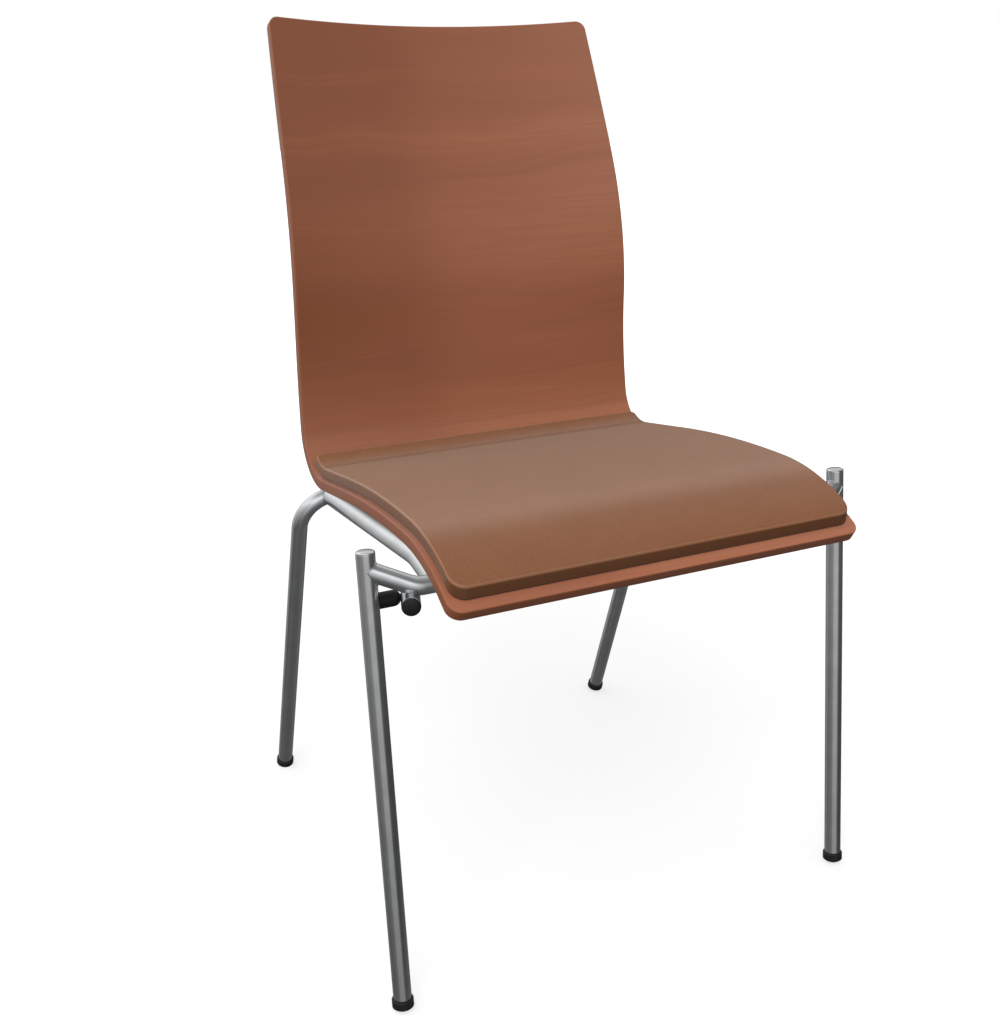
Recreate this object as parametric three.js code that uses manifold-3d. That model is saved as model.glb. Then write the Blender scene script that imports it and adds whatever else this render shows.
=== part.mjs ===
// Stacking choir chair: one bent plywood shell with a thin leather seat pad, on a welded frame of
// chromed steel tube. Millimetres, +Z up, the chair faces -Y, and left is -X. The origin is on the
// floor under the middle of the chair.
import * as THREE from "three";
import { mergeVertices } from "three/addons/utils/BufferGeometryUtils.js";
import Module from "manifold-3d";

const wasm = await Module();
wasm.setup();
const radians = THREE.MathUtils.degToRad;

// Stance
const frontFootOutset = 41.75; // from the shell's front side out to a leg's axis
const rearFootOutset = 20.45; // from the shell's rear side out to a leg's axis
const supportDepth = 303.534; // from the cross tube's axis back to the rear tube's top run

// Legs
const legDiameter = 18;
const legWall = 1.5;
const frontLegLean = 7.21; // degrees, foot forward
const rearLegLean = 18.9; // degrees, foot rearward
const legTopRise = 16; // from the cross tube's joint up to the leg tube's end, under its cap
const crossbarDrop = 10.7; // from the cross tube's axis down to the rear tube's top run
const rearBendRadius = 39.5;

// Seat rails and front cross tube
const railDiameter = 18;
const railWall = 1.5;
const crossTubeHeight = 422.1; // axis of the run under the seat
const crossTubeRise = 17.5; // the ends climb this much to the legs
const crossTubeAdvance = 15.2; // the run under the seat lies this far ahead of the leg joints
const crossBendInset = 40.8; // from a leg's axis to the bend beside it
const crossBendRadius = 28;
const railRearInset = 11.05; // from the shell's rear side inwards to the rail's axis
const railKneeInset = 15.05;
const railKneeBehind = 62; // the rail turns outwards this far behind the cross tube
const railKneeClearance = 15.89; // from the rail's top up to the shell's underside
const railKneeRadius = 90;
const railJointInset = 18.7; // from the cross tube's bend inwards to the rail's end

// Plywood shell, followed along its underside and rear face from the front lip to the top edge
const shellThickness = 12;
const shellEdgeRadius = 1.5;
const shellFrontWidth = 449.5;
const shellRearWidth = 429.5;
const backWaistWidth = 422;
const backTopWidth = 392.5;
const backTaperPower = 1.5; // over 1, the back narrows faster towards its top
const backBow = 23; // depth of the back's hollow across its width
const bowFullShare = 0.62; // the hollow is at its full depth from this share of the back's length
const shellFrontCorner = 14;
const shellTopCorner = 11;
const lipReach = 69.6; // from the cross tube's axis forward to the lip
const lipSlope = 29.7; // degrees
const lipLength = 25;
const lipRadius = 174;
const seatRadius = 1052;
const seatSlope = -9.4; // degrees, falling to the rear
const seatStraight = 82.7;
const seatBendRadius = 62.6;
const lumbarSlope = 81.6; // degrees
const lumbarLength = 4.7;
const lumbarRadius = 695;
const waistLength = 18;
const backRadius = 448;
const backSlope = 68.2; // degrees
const backLength = 155;

// Seat pad: a cover round foam on a thin board
const padHeight = 12.8;
const padCrown = 1;
const padEdgeRadius = 5;
const padSideInset = 4.8;
const padFrontInset = 11;
const padFrontCorner = 16;
const padRearCorner = 8.4;
const padRearHeading = 38; // degrees, the slope of the shell where the pad ends
const coverThickness = 1.2;
const boardThickness = 4;

// Glides, caps and stacking fittings
const glideDiameter = 21.4;
const glideHeight = 12; // along the leg's axis
const glideDomeRadius = 15;
const glideDomeWear = 1; // the dome is flat for this much of its height
const plugStem = 16;
const capHeight = 2.8;
const restLength = 28;
const restOverhang = 14.5; // in front of the cross tube's axis
const restOutset = 5.5; // from the cross tube's bend out to the stub
const restSeat = 2.6; // how far the tube above sinks into the stub's saddle
const restPlugDome = 3;
const pegDiameter = 15.4;
const pegDrop = 18.1; // below the cross tube's axis
const pegSetback = 13; // behind the leg's axis
const pegReach = 35; // inwards from the leg's axis
const pegOverhang = 2.2; // outwards from the leg's axis

// Fixings
const mountSpacing = 280;
const rearMountAhead = 32; // ahead of the crossbar's axis
const frontMountBehind = 24; // behind the cross tube's axis
const plateWidth = 28;
const plateThickness = 3;
const plateMargin = 13; // from a mount's screw to the plate's free end
const washerDiameter = 16;
const washerThickness = 2.5;
const mountScrew = 6;
const mountScrewHead = 10.5;
const mountScrewHeadHeight = 3.3;
const socketDiameter = 4.6;
const socketDepth = 2;
const socketSides = 6;
const insertFlange = 18;
const insertFlangeThickness = 1.2;
const insertBarrel = 9.6;
const insertRise = 2; // the barrel ends this far above the shell's underside
const smallScrew = 4;
const smallScrewHead = 8;
const smallScrewHeadHeight = 2.4;
const headCrownShare = 0.7; // width of a screw head's flat top
const padScrewSpacing = 140;
const padScrewRunShares = [0.24, 0.74]; // shares of the pad's length, from its front
const padScrewBite = 2.8; // into the board
const pegScrewInset = 3.4; // inwards from the leg's axis
const pegScrewBite = 4; // into the leg

// Clearances and modelling steps
const restGap = 0.3; // between pieces that touch
const weldGap = 0.3; // between a tube's shaped end and the tube that it meets
const overrun = 6; // how far a cutter passes the face it cuts
const leastStep = 0.5;
const weldMerge = 1e-4;
const tubeSides = 16;
const roundSides = 16;
const hardwareSides = 12;
const bendStep = 9; // degrees
const domeSteps = 6;
const fineChord = 0.08; // how far a facet may leave the curve it stands for
const coarseChord = 0.12;

// Places that follow from the sizes above
const frontFootSpacing = shellFrontWidth + 2 * frontFootOutset;
const rearFootSpacing = shellRearWidth + 2 * rearFootOutset;
const railRearSpacing = shellRearWidth - 2 * railRearInset;
const railKneeSpacing = shellRearWidth - 2 * railKneeInset;
const crossbarHeight = crossTubeHeight - crossbarDrop;
const pegHeight = crossTubeHeight - pegDrop;
const legJointHeight = crossTubeHeight + crossTubeRise;
const frontLegTop = legJointHeight + legTopRise;
const frontLegSlope = Math.tan(radians(frontLegLean));
const rearLegSlope = Math.tan(radians(rearLegLean));
const jointToFoot = legJointHeight * frontLegSlope - crossTubeAdvance;
const footDepth = jointToFoot + supportDepth + crossbarHeight * rearLegSlope;
const frontFootY = -footDepth / 2;
const rearFootY = footDepth / 2;
const frontLegY = (height) => frontFootY + height * frontLegSlope;
const rearLegY = (height) => rearFootY - height * rearLegSlope;
const crossTubeY = frontLegY(legJointHeight) - crossTubeAdvance;
const crossbarY = rearLegY(crossbarHeight);
const stemDiameter = legDiameter - 2 * legWall - 2 * restGap;

const finish = (color, roughness, metalness) =>
  new THREE.MeshStandardMaterial({ color, roughness, metalness });
const materials = {
  chrome: finish(0xc9ccd0, 0.15, 1),
  satinCap: finish(0xa9abad, 0.4, 0.9),
  plywood: finish(0x8f583c, 0.45, 0),
  leather: finish(0x8a5c41, 0.5, 0),
  foam: finish(0xe4dcc4, 0.95, 0),
  board: finish(0xc9a778, 0.7, 0),
  blackPlastic: finish(0x1b1b1c, 0.45, 0),
  rubber: finish(0x242424, 0.9, 0),
  zincSteel: finish(0xb3b5b8, 0.35, 1),
};

// Solids

function solidOf(geometry) {
  const bare = new THREE.BufferGeometry();
  bare.setAttribute("position", geometry.getAttribute("position"));
  if (geometry.index) bare.setIndex(geometry.index);
  const merged = mergeVertices(bare, weldMerge);
  return new wasm.Manifold(
    new wasm.Mesh({
      numProp: 3,
      vertProperties: merged.getAttribute("position").array,
      triVerts: new Uint32Array(merged.index.array),
    }),
  );
}

function geometryOf(solid) {
  const { vertProperties, triVerts } = solid.getMesh();
  const geometry = new THREE.BufferGeometry();
  geometry.setAttribute("position", new THREE.BufferAttribute(vertProperties, 3));
  geometry.setIndex(new THREE.BufferAttribute(triVerts, 1));
  geometry.computeVertexNormals();
  return geometry;
}

const cut = (geometry, ...cutters) =>
  geometryOf(cutters.reduce((solid, cutter) => solid.subtract(solidOf(cutter)), solidOf(geometry)));

// A straight rod along local Z, from one height to another.
function rod(diameter, low, high, sides = hardwareSides) {
  const geometry = new THREE.CylinderGeometry(diameter / 2, diameter / 2, high - low, sides);
  return geometry.rotateX(Math.PI / 2).translate(0, 0, (low + high) / 2);
}

// A turned piece round local Z. The profile's points are [radius, height] from axis to axis.
function turned(profile, sides = roundSides) {
  const points = profile.map(([radius, height]) => new THREE.Vector2(radius, height));
  return new THREE.LatheGeometry(points, sides).rotateX(Math.PI / 2);
}

// Tubes

// A centre line of straights joined by round bends. Its stations are the ends of each straight
// and points a few degrees apart round each bend.
class BentLine extends THREE.Curve {
  constructor(corners, bendRadius = 0) {
    super();
    this.stations = [];
    corners.forEach((corner, i) => this.addCorner(corners[i - 1], corner, corners[i + 1], bendRadius));
  }

  addCorner(before, corner, after, bendRadius) {
    if (!before || !after) {
      const tangent = before ? corner.clone().sub(before) : after.clone().sub(corner);
      this.stations.push({ point: corner.clone(), tangent: tangent.normalize() });
      return;
    }
    const into = corner.clone().sub(before).normalize();
    const turn = into.angleTo(after.clone().sub(corner));
    const axis = into.clone().cross(after.clone().sub(corner)).normalize();
    const start = corner.clone().addScaledVector(into, -bendRadius * Math.tan(turn / 2));
    const centre = start.clone().addScaledVector(axis.clone().cross(into), bendRadius);
    const steps = Math.ceil(turn / radians(bendStep));
    for (let k = 0; k <= steps; k++) {
      const angle = (turn * k) / steps;
      const arm = start.clone().sub(centre).applyAxisAngle(axis, angle);
      const tangent = into.clone().applyAxisAngle(axis, angle);
      this.stations.push({ point: centre.clone().add(arm), tangent });
    }
  }

  station(share) {
    return this.stations[Math.round(share * (this.stations.length - 1))];
  }

  getPointAt(share, target = new THREE.Vector3()) {
    return target.copy(this.station(share).point);
  }

  getTangentAt(share, target = new THREE.Vector3()) {
    return target.copy(this.station(share).tangent);
  }
}

// A round section along a centre line: a tube where a wall is given, and otherwise a solid bar.
function tube(line, diameter, wall = 0) {
  const circle = (radius) => new THREE.Path().absarc(0, 0, radius, 0, 2 * Math.PI);
  const section = new THREE.Shape().absarc(0, 0, diameter / 2, 0, 2 * Math.PI);
  if (wall) section.holes.push(circle(diameter / 2 - wall));
  const steps = line.stations.length - 1;
  return new THREE.ExtrudeGeometry(section, { steps, curveSegments: tubeSides / 2, extrudePath: line });
}

// A matrix that stands local Z along a direction at a place.
function standing(place, direction) {
  const turn = new THREE.Quaternion().setFromUnitVectors(new THREE.Vector3(0, 0, 1), direction);
  return new THREE.Matrix4().compose(place, turn, new THREE.Vector3(1, 1, 1));
}

const frontLegDirection = new THREE.Vector3(0, frontLegSlope, 1).normalize();
const rearLegDirection = new THREE.Vector3(0, -rearLegSlope, 1).normalize();
const frontFoot = (side) => new THREE.Vector3((side * frontFootSpacing) / 2, frontFootY, 0);
const rearFoot = (side) => new THREE.Vector3((side * rearFootSpacing) / 2, rearFootY, 0);

// Each leg tube starts just above its glide.
const tubeStart = (foot, direction) => foot.clone().addScaledVector(direction, glideHeight + restGap);

function frontLegLine(side) {
  const foot = frontFoot(side);
  const top = new THREE.Vector3(foot.x, frontLegY(frontLegTop), frontLegTop);
  return new BentLine([tubeStart(foot, frontLegDirection), top]);
}

// One tube runs up the left rear leg, across under the seat and down the right one.
const rearLine = new BentLine(
  [
    tubeStart(rearFoot(-1), rearLegDirection),
    new THREE.Vector3(-rearFootSpacing / 2, crossbarY, crossbarHeight),
    new THREE.Vector3(rearFootSpacing / 2, crossbarY, crossbarHeight),
    tubeStart(rearFoot(1), rearLegDirection),
  ],
  rearBendRadius,
);

const legJoint = (side) =>
  new THREE.Vector3((side * frontFootSpacing) / 2, frontLegY(legJointHeight), legJointHeight);
const crossCorner = (side) =>
  new THREE.Vector3(side * (frontFootSpacing / 2 - crossBendInset), crossTubeY, crossTubeHeight);
const crossLine = new BentLine(
  [legJoint(-1), crossCorner(-1), crossCorner(1), legJoint(1)],
  crossBendRadius,
);

// A side rail leaves the rear tube inside its bend, runs forward and turns out to the cross
// tube's bend.
function railLine(side) {
  const bendStart = rearFootSpacing / 2 - rearBendRadius;
  const dropAngle = Math.asin((railRearSpacing / 2 - bendStart) / rearBendRadius);
  const rearHeight =
    crossbarHeight - rearBendRadius * (1 - Math.cos(dropAngle)) * Math.cos(radians(rearLegLean));
  const corner = crossCorner(side);
  const joint = corner.clone().setX(corner.x - side * railJointInset);
  return new BentLine(
    [
      new THREE.Vector3((side * railRearSpacing) / 2, rearLegY(rearHeight), rearHeight),
      new THREE.Vector3((side * railKneeSpacing) / 2, crossTubeY + railKneeBehind, railKneeHeight),
      joint,
    ],
    railKneeRadius,
  );
}

// The stub under the cross tube stands square to the tube's sloping end, and level.
function restPose(side) {
  const corner = crossCorner(side);
  const joint = legJoint(side);
  const run = joint.clone().sub(corner);
  const place = corner.clone().addScaledVector(run, restOutset / run.length());
  place.z -= railDiameter - restSeat;
  const along = new THREE.Vector3(run.x, run.y, 0).normalize();
  const forward = new THREE.Vector3(side * along.y, -side * along.x, 0);
  return { place, forward };
}

function restLine(side) {
  const { place, forward } = restPose(side);
  const front = place.clone().addScaledVector(forward, restOverhang);
  return new BentLine([place.clone().addScaledVector(forward, restOverhang - restLength), front]);
}

// Shell

// A line in the side plane made of straights and arcs that follow each other without a kink.
class SideLine {
  constructor(slope, pieces) {
    this.runs = [];
    let run = { y: 0, z: 0, angle: radians(slope), from: 0 };
    for (const piece of pieces) {
      const turn = piece.radius ? radians(piece.slope) - run.angle : 0;
      run.length = piece.radius ? piece.radius * Math.abs(turn) : piece.length;
      run.bend = turn / run.length;
      this.runs.push(run);
      run = { ...this.along(run, run.length), from: run.from + run.length };
    }
    this.length = run.from;
  }

  along(run, distance) {
    const angle = run.angle + run.bend * distance;
    if (!run.bend) {
      const y = run.y + distance * Math.cos(angle);
      return { y, z: run.z + distance * Math.sin(angle), angle };
    }
    const y = run.y + (Math.sin(angle) - Math.sin(run.angle)) / run.bend;
    return { y, z: run.z - (Math.cos(angle) - Math.cos(run.angle)) / run.bend, angle };
  }

  at(distance) {
    const run = this.runs.findLast(({ from }) => from <= distance) ?? this.runs[0];
    return this.along(run, distance - run.from);
  }

  // The distance at which the line, or a point held square below it, is at a given depth.
  atDepth(y, below = 0) {
    let low = 0;
    let high = this.length;
    while (high - low > weldMerge) {
      const middle = (low + high) / 2;
      const { y: depth, angle } = this.at(middle);
      if (depth + below * Math.sin(angle) < y) low = middle;
      else high = middle;
    }
    return low;
  }

  // Ends of the runs, and points round the arcs that keep each chord close to its arc.
  stations(from, to, chordError) {
    const marks = this.runs.flatMap((run) => {
      const step = 2 * Math.acos(1 - chordError * Math.abs(run.bend));
      const steps = run.bend ? Math.ceil(Math.abs(run.bend * run.length) / step) : 1;
      return Array.from({ length: steps }, (_, k) => run.from + (run.length * k) / steps);
    });
    return marks.filter((mark) => mark > from && mark < to);
  }
}

const shellLine = new SideLine(lipSlope, [
  { length: lipLength },
  { radius: lipRadius, slope: 0 },
  { radius: seatRadius, slope: seatSlope },
  { length: seatStraight },
  { radius: seatBendRadius, slope: lumbarSlope },
  { length: lumbarLength },
  { radius: lumbarRadius, slope: 90 },
  { length: waistLength },
  { radius: backRadius, slope: backSlope },
  { length: backLength },
]);
const [, , , , bendRun, lumbarRun, , waistRun, backRun] = shellLine.runs;

// The shell's front lip is set ahead of the cross tube, and its underside rests on the crossbar.
const shellY = crossTubeY - lipReach;
const crossbarClearance = legDiameter / 2 + restGap;
const crossbarContact = shellLine.at(shellLine.atDepth(crossbarY - shellY, crossbarClearance));
const shellZ =
  crossbarHeight + crossbarClearance * Math.cos(crossbarContact.angle) - crossbarContact.z;
const overKnee = shellLine.at(shellLine.atDepth(crossTubeY + railKneeBehind - shellY));
const railKneeHeight = shellZ + overKnee.z - railKneeClearance - railDiameter / 2;

function shellHalfWidth(distance) {
  const { lerp, smoothstep } = THREE.MathUtils;
  if (distance < bendRun.from)
    return lerp(shellFrontWidth, shellRearWidth, distance / bendRun.from) / 2;
  if (distance < backRun.from) {
    const share = smoothstep(distance, bendRun.from, backRun.from);
    return lerp(shellRearWidth, backWaistWidth, share) / 2;
  }
  const share = (distance - backRun.from) / (shellLine.length - backRun.from);
  return lerp(backWaistWidth, backTopWidth, Math.min(share, 1) ** backTaperPower) / 2;
}

function shellBow(distance) {
  const full = THREE.MathUtils.lerp(lumbarRun.from, shellLine.length, bowFullShare);
  return backBow * THREE.MathUtils.smoothstep(distance, lumbarRun.from, full);
}

// A point of the shell: its place across, its distance along the side line, and how far it stands
// off the underside.
function shellPoint(x, distance, offset) {
  const { y, z, angle } = shellLine.at(distance);
  const hollow = shellBow(distance) * (1 - (x / shellHalfWidth(distance)) ** 2);
  const lift = offset - hollow;
  return new THREE.Vector3(x, shellY + y - lift * Math.sin(angle), shellZ + z + lift * Math.cos(angle));
}

// A matrix that puts local Z along the shell's normal, and local Y along its side line.
function onShell(x, distance) {
  const { angle } = shellLine.at(distance);
  const place = shellPoint(x, distance, 0);
  return new THREE.Matrix4().makeRotationX(angle).setPosition(place);
}

// A sheet that follows the shell, with rounded corners and edges. Its two faces stand off the
// shell's underside by low and high, and its crown lifts the middle of the upper one.
function sheet(size, grain) {
  const { from, to, inset, frontCorner, rearCorner, low, high, lowEdge, highEdge, crown } = size;
  const { columns, edgeSteps, cornerSteps, chordError } = grain;
  const middle = (from + to) / 2;
  const reach = (to - from) / 2;
  const width = (distance) => shellHalfWidth(distance) - inset;
  const corner = (distance) => (distance < middle ? frontCorner : rearCorner);
  const cornerCut = (distance) => {
    const radius = corner(distance);
    const short = Math.max(0, radius - Math.min(distance - from, to - distance));
    return radius - Math.sqrt(Math.max(0, radius ** 2 - short ** 2));
  };
  const toEdge = (x, distance) => {
    const radius = corner(distance);
    const across = Math.abs(x) - (width(distance) - radius);
    const along = Math.abs(distance - middle) - (reach - radius);
    const outside = Math.hypot(Math.max(across, 0), Math.max(along, 0));
    return Math.max(0, radius - outside - Math.min(Math.max(across, along), 0));
  };
  const fall = (radius, depth) => {
    const short = Math.max(0, radius - depth);
    return radius - Math.sqrt(Math.max(0, radius ** 2 - short ** 2));
  };
  const quarter = (count) =>
    Array.from({ length: count + 1 }, (_, k) => 1 - Math.cos((Math.PI / 2) * (k / count)));

  const edge = Math.max(lowEdge, highEdge);
  const ends = quarter(edgeSteps).map((share) => share * edge);
  const frontMarks = [...ends, ...quarter(cornerSteps).map((share) => share * frontCorner)];
  const rearMarks = [...ends, ...quarter(cornerSteps).map((share) => share * rearCorner)];
  const rows = [
    ...frontMarks.map((mark) => from + mark),
    ...shellLine.stations(from, to, chordError),
    ...rearMarks.map((mark) => to - mark),
  ]
    .sort((a, b) => a - b)
    .filter((mark, i, all) => i === 0 || mark - all[i - 1] > leastStep || i === all.length - 1);

  const loops = rows.map((distance) => {
    const half = width(distance) - cornerCut(distance);
    const flat = half - edge;
    const inner = Array.from({ length: columns + 1 }, (_, k) => flat * ((2 * k) / columns - 1));
    const sides = quarter(edgeSteps).slice(0, -1).map((share) => half - share * edge);
    const xs = [...sides.map((x) => -x), ...inner, ...sides.reverse()];
    const lower = xs.map((x) => shellPoint(x, distance, low + fall(lowEdge, toEdge(x, distance))));
    const upper = xs.map((x) => {
      const rise = (1 - (x / half) ** 2) * (1 - ((distance - middle) / reach) ** 2);
      return shellPoint(x, distance, high + crown * rise - fall(highEdge, toEdge(x, distance)));
    });
    return [...lower, ...upper.reverse()];
  });

  const count = loops[0].length;
  const faces = [];
  const cap = (row, flip) => {
    for (let i = 0; i < count / 2 - 1; i++) {
      const [a, b, c, d] = [i, i + 1, count - 2 - i, count - 1 - i].map((k) => row * count + k);
      faces.push(...(flip ? [a, c, b, a, d, c] : [a, b, c, a, c, d]));
    }
  };
  cap(0, false);
  for (let row = 0; row < loops.length - 1; row++)
    for (let i = 0; i < count; i++) {
      const next = (i + 1) % count;
      const [a, b] = [row * count + i, row * count + next];
      faces.push(a, b + count, b, a, a + count, b + count);
    }
  cap(loops.length - 1, true);
  const geometry = new THREE.BufferGeometry().setFromPoints(loops.flat());
  geometry.setIndex(faces);
  geometry.computeVertexNormals();
  return geometry;
}

// Places of the shell's fixings
const rearMount = shellLine.atDepth(crossbarY - rearMountAhead - shellY);
const frontMount = shellLine.atDepth(crossTubeY + frontMountBehind - shellY);
const mounts = [-1, 1].flatMap((side) => [
  { name: "front_" + sideName(side), x: (side * mountSpacing) / 2, distance: frontMount },
  { name: "rear_" + sideName(side), x: (side * mountSpacing) / 2, distance: rearMount },
]);
const padFrom = padFrontInset;
const padTo = bendRun.from + seatBendRadius * radians(padRearHeading - seatSlope);
const padScrews = [-1, 1].flatMap((side) =>
  padScrewRunShares.map((share, i) => ({
    name: ["front_", "rear_"][i] + sideName(side),
    x: (side * padScrewSpacing) / 2,
    distance: THREE.MathUtils.lerp(padFrom, padTo, share),
  })),
);

function sideName(side) {
  return side < 0 ? "left" : "right";
}

// Heights in a mount's own frame, down from the shell's underside
const washerTop = -restGap;
const plateTop = washerTop - washerThickness - restGap;
const headTop = plateTop - plateThickness - restGap;
const insertTop = shellThickness - restGap;
const insertFloor = insertTop - insertFlangeThickness;

const shellGrain = { columns: 10, edgeSteps: 2, cornerSteps: 5, chordError: fineChord };

function plywoodShell() {
  const size = {
    from: 0,
    to: shellLine.length,
    inset: 0,
    frontCorner: shellFrontCorner,
    rearCorner: shellTopCorner,
    low: 0,
    high: shellThickness,
    lowEdge: shellEdgeRadius,
    highEdge: shellEdgeRadius,
    crown: 0,
  };
  const insertHoles = mounts.flatMap(({ x, distance }) => {
    const place = onShell(x, distance);
    const barrel = rod(insertBarrel + 2 * restGap, -overrun, shellThickness + overrun);
    const recess = rod(insertFlange + 2 * restGap, insertFloor - restGap, shellThickness + overrun);
    return [barrel.applyMatrix4(place), recess.applyMatrix4(place)];
  });
  const screwHoles = padScrews.map(({ x, distance }) => {
    const hole = rod(smallScrew + 2 * restGap, -overrun, shellThickness + overrun);
    return hole.applyMatrix4(onShell(x, distance));
  });
  return cut(sheet(size, shellGrain), ...insertHoles, ...screwHoles);
}

// Seat pad

// A layer of the pad, drawn in from the pad's outline and standing between two heights above the
// shell's upper face.
function padLayer(drawIn, low, high, edge, crown, grain) {
  const size = {
    from: padFrom + drawIn,
    to: padTo - drawIn,
    inset: padSideInset + drawIn,
    frontCorner: padFrontCorner - drawIn,
    rearCorner: padRearCorner - drawIn,
    low: shellThickness + low,
    high: shellThickness + high,
    lowEdge: 0,
    highEdge: edge,
    crown,
  };
  return sheet(size, grain);
}
const fineGrain = { columns: 8, edgeSteps: 3, cornerSteps: 4, chordError: coarseChord };
const coarseGrain = { columns: 4, edgeSteps: 1, cornerSteps: 3, chordError: coarseChord };
const foamLow = restGap + boardThickness + restGap;
const foamHigh = padHeight - coverThickness - restGap;

function padCover() {
  const outside = padLayer(0, restGap, padHeight, padEdgeRadius, padCrown, fineGrain);
  const cavityEdge = padEdgeRadius - coverThickness;
  const cavityTop = padHeight - coverThickness;
  const cavity = padLayer(coverThickness, -overrun, cavityTop, cavityEdge, padCrown, coarseGrain);
  return cut(outside, cavity);
}

function padFoam() {
  const edge = padEdgeRadius - coverThickness - restGap;
  return padLayer(coverThickness + restGap, foamLow, foamHigh - restGap, edge, padCrown, coarseGrain);
}

function padBoard() {
  const drawIn = coverThickness + restGap;
  const board = padLayer(drawIn, restGap, restGap + boardThickness, 0, 0, coarseGrain);
  const holes = padScrews.map(({ x, distance }) => {
    const low = shellThickness - overrun;
    const high = shellThickness + restGap + padScrewBite + restGap;
    return rod(smallScrew + 2 * restGap, low, high).applyMatrix4(onShell(x, distance));
  });
  return cut(board, ...holes);
}

// Frame

const legBar = (side, diameter) => {
  const foot = frontFoot(side);
  const top = foot.clone().addScaledVector(frontLegDirection, frontLegTop + overrun);
  return tube(new BentLine([foot, top]), diameter);
};
const railCutter = tube(crossLine, railDiameter + 2 * weldGap);
const rearCutter = tube(rearLine, legDiameter + 2 * weldGap);

const pegPlace = (side) => {
  const y = frontLegY(pegHeight);
  return new THREE.Vector3((side * frontFootSpacing) / 2, y + pegSetback, pegHeight);
};

// The screw through a peg lies along Y. Its head sits in a recess at the rear of the peg.
const pegScrewMatrix = (side) => {
  const place = pegPlace(side);
  place.x -= side * pegScrewInset;
  return standing(place, new THREE.Vector3(0, -1, 0));
};
const pegHeadSeat = -pegDiameter / 2 + smallScrewHeadHeight + restGap;

function frontLeg(side) {
  const screwHole = rod(smallScrew + 2 * restGap, pegHeadSeat, pegSetback);
  return cut(
    tube(frontLegLine(side), legDiameter, legWall),
    screwHole.applyMatrix4(pegScrewMatrix(side)),
  );
}

function frontCrossTube() {
  const legs = [-1, 1].map((side) => legBar(side, legDiameter + 2 * weldGap));
  return cut(tube(crossLine, railDiameter, railWall), ...legs);
}

const sideRail = (side) => cut(tube(railLine(side), railDiameter, railWall), rearCutter, railCutter);

const stackingRest = (side) => cut(tube(restLine(side), railDiameter, railWall), railCutter);

// A flat plate under the shell, shaped to the crossbar that it is welded to.
function rearPlate({ x, distance }) {
  const place = onShell(x, distance);
  const bar = new THREE.Vector3(x, crossbarY, crossbarHeight).applyMatrix4(place.clone().invert());
  const length = plateMargin + bar.y;
  const plate = new THREE.BoxGeometry(plateWidth, length, plateThickness);
  plate.translate(0, length / 2 - plateMargin, plateTop - plateThickness / 2);
  const hole = rod(mountScrew + 2 * restGap, plateTop - overrun, plateTop + overrun);
  return cut(cut(plate, hole).applyMatrix4(place), rearCutter);
}

// A bracket whose upright leg is welded to the top of the cross tube.
function frontBracket({ x, distance }) {
  const place = onShell(x, distance);
  const bar = new THREE.Vector3(x, crossTubeY, crossTubeHeight).applyMatrix4(place.clone().invert());
  const front = bar.y - plateThickness / 2;
  const outline = [
    [plateMargin, plateTop],
    [front, plateTop],
    [front, bar.z],
    [front + plateThickness, bar.z],
    [front + plateThickness, plateTop - plateThickness],
    [plateMargin, plateTop - plateThickness],
  ];
  const shape = new THREE.Shape(outline.map(([y, z]) => new THREE.Vector2(y, z)));
  const bracket = new THREE.ExtrudeGeometry(shape, { depth: plateWidth, bevelEnabled: false });
  // The outline's two directions become local Y and Z, and the extrusion runs across.
  const turn = new THREE.Matrix4().set(0, 0, 1, -plateWidth / 2, 1, 0, 0, 0, 0, 1, 0, 0, 0, 0, 0, 1);
  bracket.applyMatrix4(turn);
  const hole = rod(mountScrew + 2 * restGap, plateTop - overrun, plateTop + overrun);
  return cut(cut(bracket, hole).applyMatrix4(place), railCutter);
}

// Plastic fittings

// A plug glide with its stem up the tube, cut flat where it stands on the floor.
function glide(foot, direction) {
  const centre = (glideDomeRadius - glideDomeWear) / direction.z;
  const rimAngle = Math.asin(glideDiameter / 2 / glideDomeRadius);
  const dome = Array.from({ length: domeSteps + 1 }, (_, k) => {
    const angle = (rimAngle * k) / domeSteps;
    return [glideDomeRadius * Math.sin(angle), centre - glideDomeRadius * Math.cos(angle)];
  });
  const chamfer = (glideDiameter - legDiameter) / 3;
  const profile = [
    ...dome,
    [glideDiameter / 2, glideHeight - chamfer],
    [glideDiameter / 2 - chamfer, glideHeight],
    [stemDiameter / 2, glideHeight],
    [stemDiameter / 2, glideHeight + plugStem],
    [0, glideHeight + plugStem],
  ];
  const size = 2 * glideDiameter;
  const floor = new THREE.BoxGeometry(size, size, size).translate(foot.x, foot.y, -size / 2);
  return cut(turned(profile).applyMatrix4(standing(foot, direction)), floor);
}

// A plug with a shallow domed head on a stem, both round local Z, with the head's rim at height 0.
function domedPlug(headDiameter, stemSize, domeHeight, stemLength) {
  const stem = [[0, -stemLength], [stemSize / 2, -stemLength]];
  const seat = stemSize < headDiameter ? [[stemSize / 2, 0]] : [];
  const dome = Array.from({ length: domeSteps + 1 }, (_, k) => {
    const share = 1 - k / domeSteps;
    return [(headDiameter / 2) * share, domeHeight * Math.sqrt(1 - share ** 2)];
  });
  return turned([...stem, ...seat, ...dome]);
}

function legCap(side) {
  const top = frontLegLine(side).stations[1].point;
  const place = top.clone().addScaledVector(frontLegDirection, restGap);
  const matrix = standing(place, frontLegDirection);
  return domedPlug(legDiameter, stemDiameter, capHeight, plugStem).applyMatrix4(matrix);
}

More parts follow.
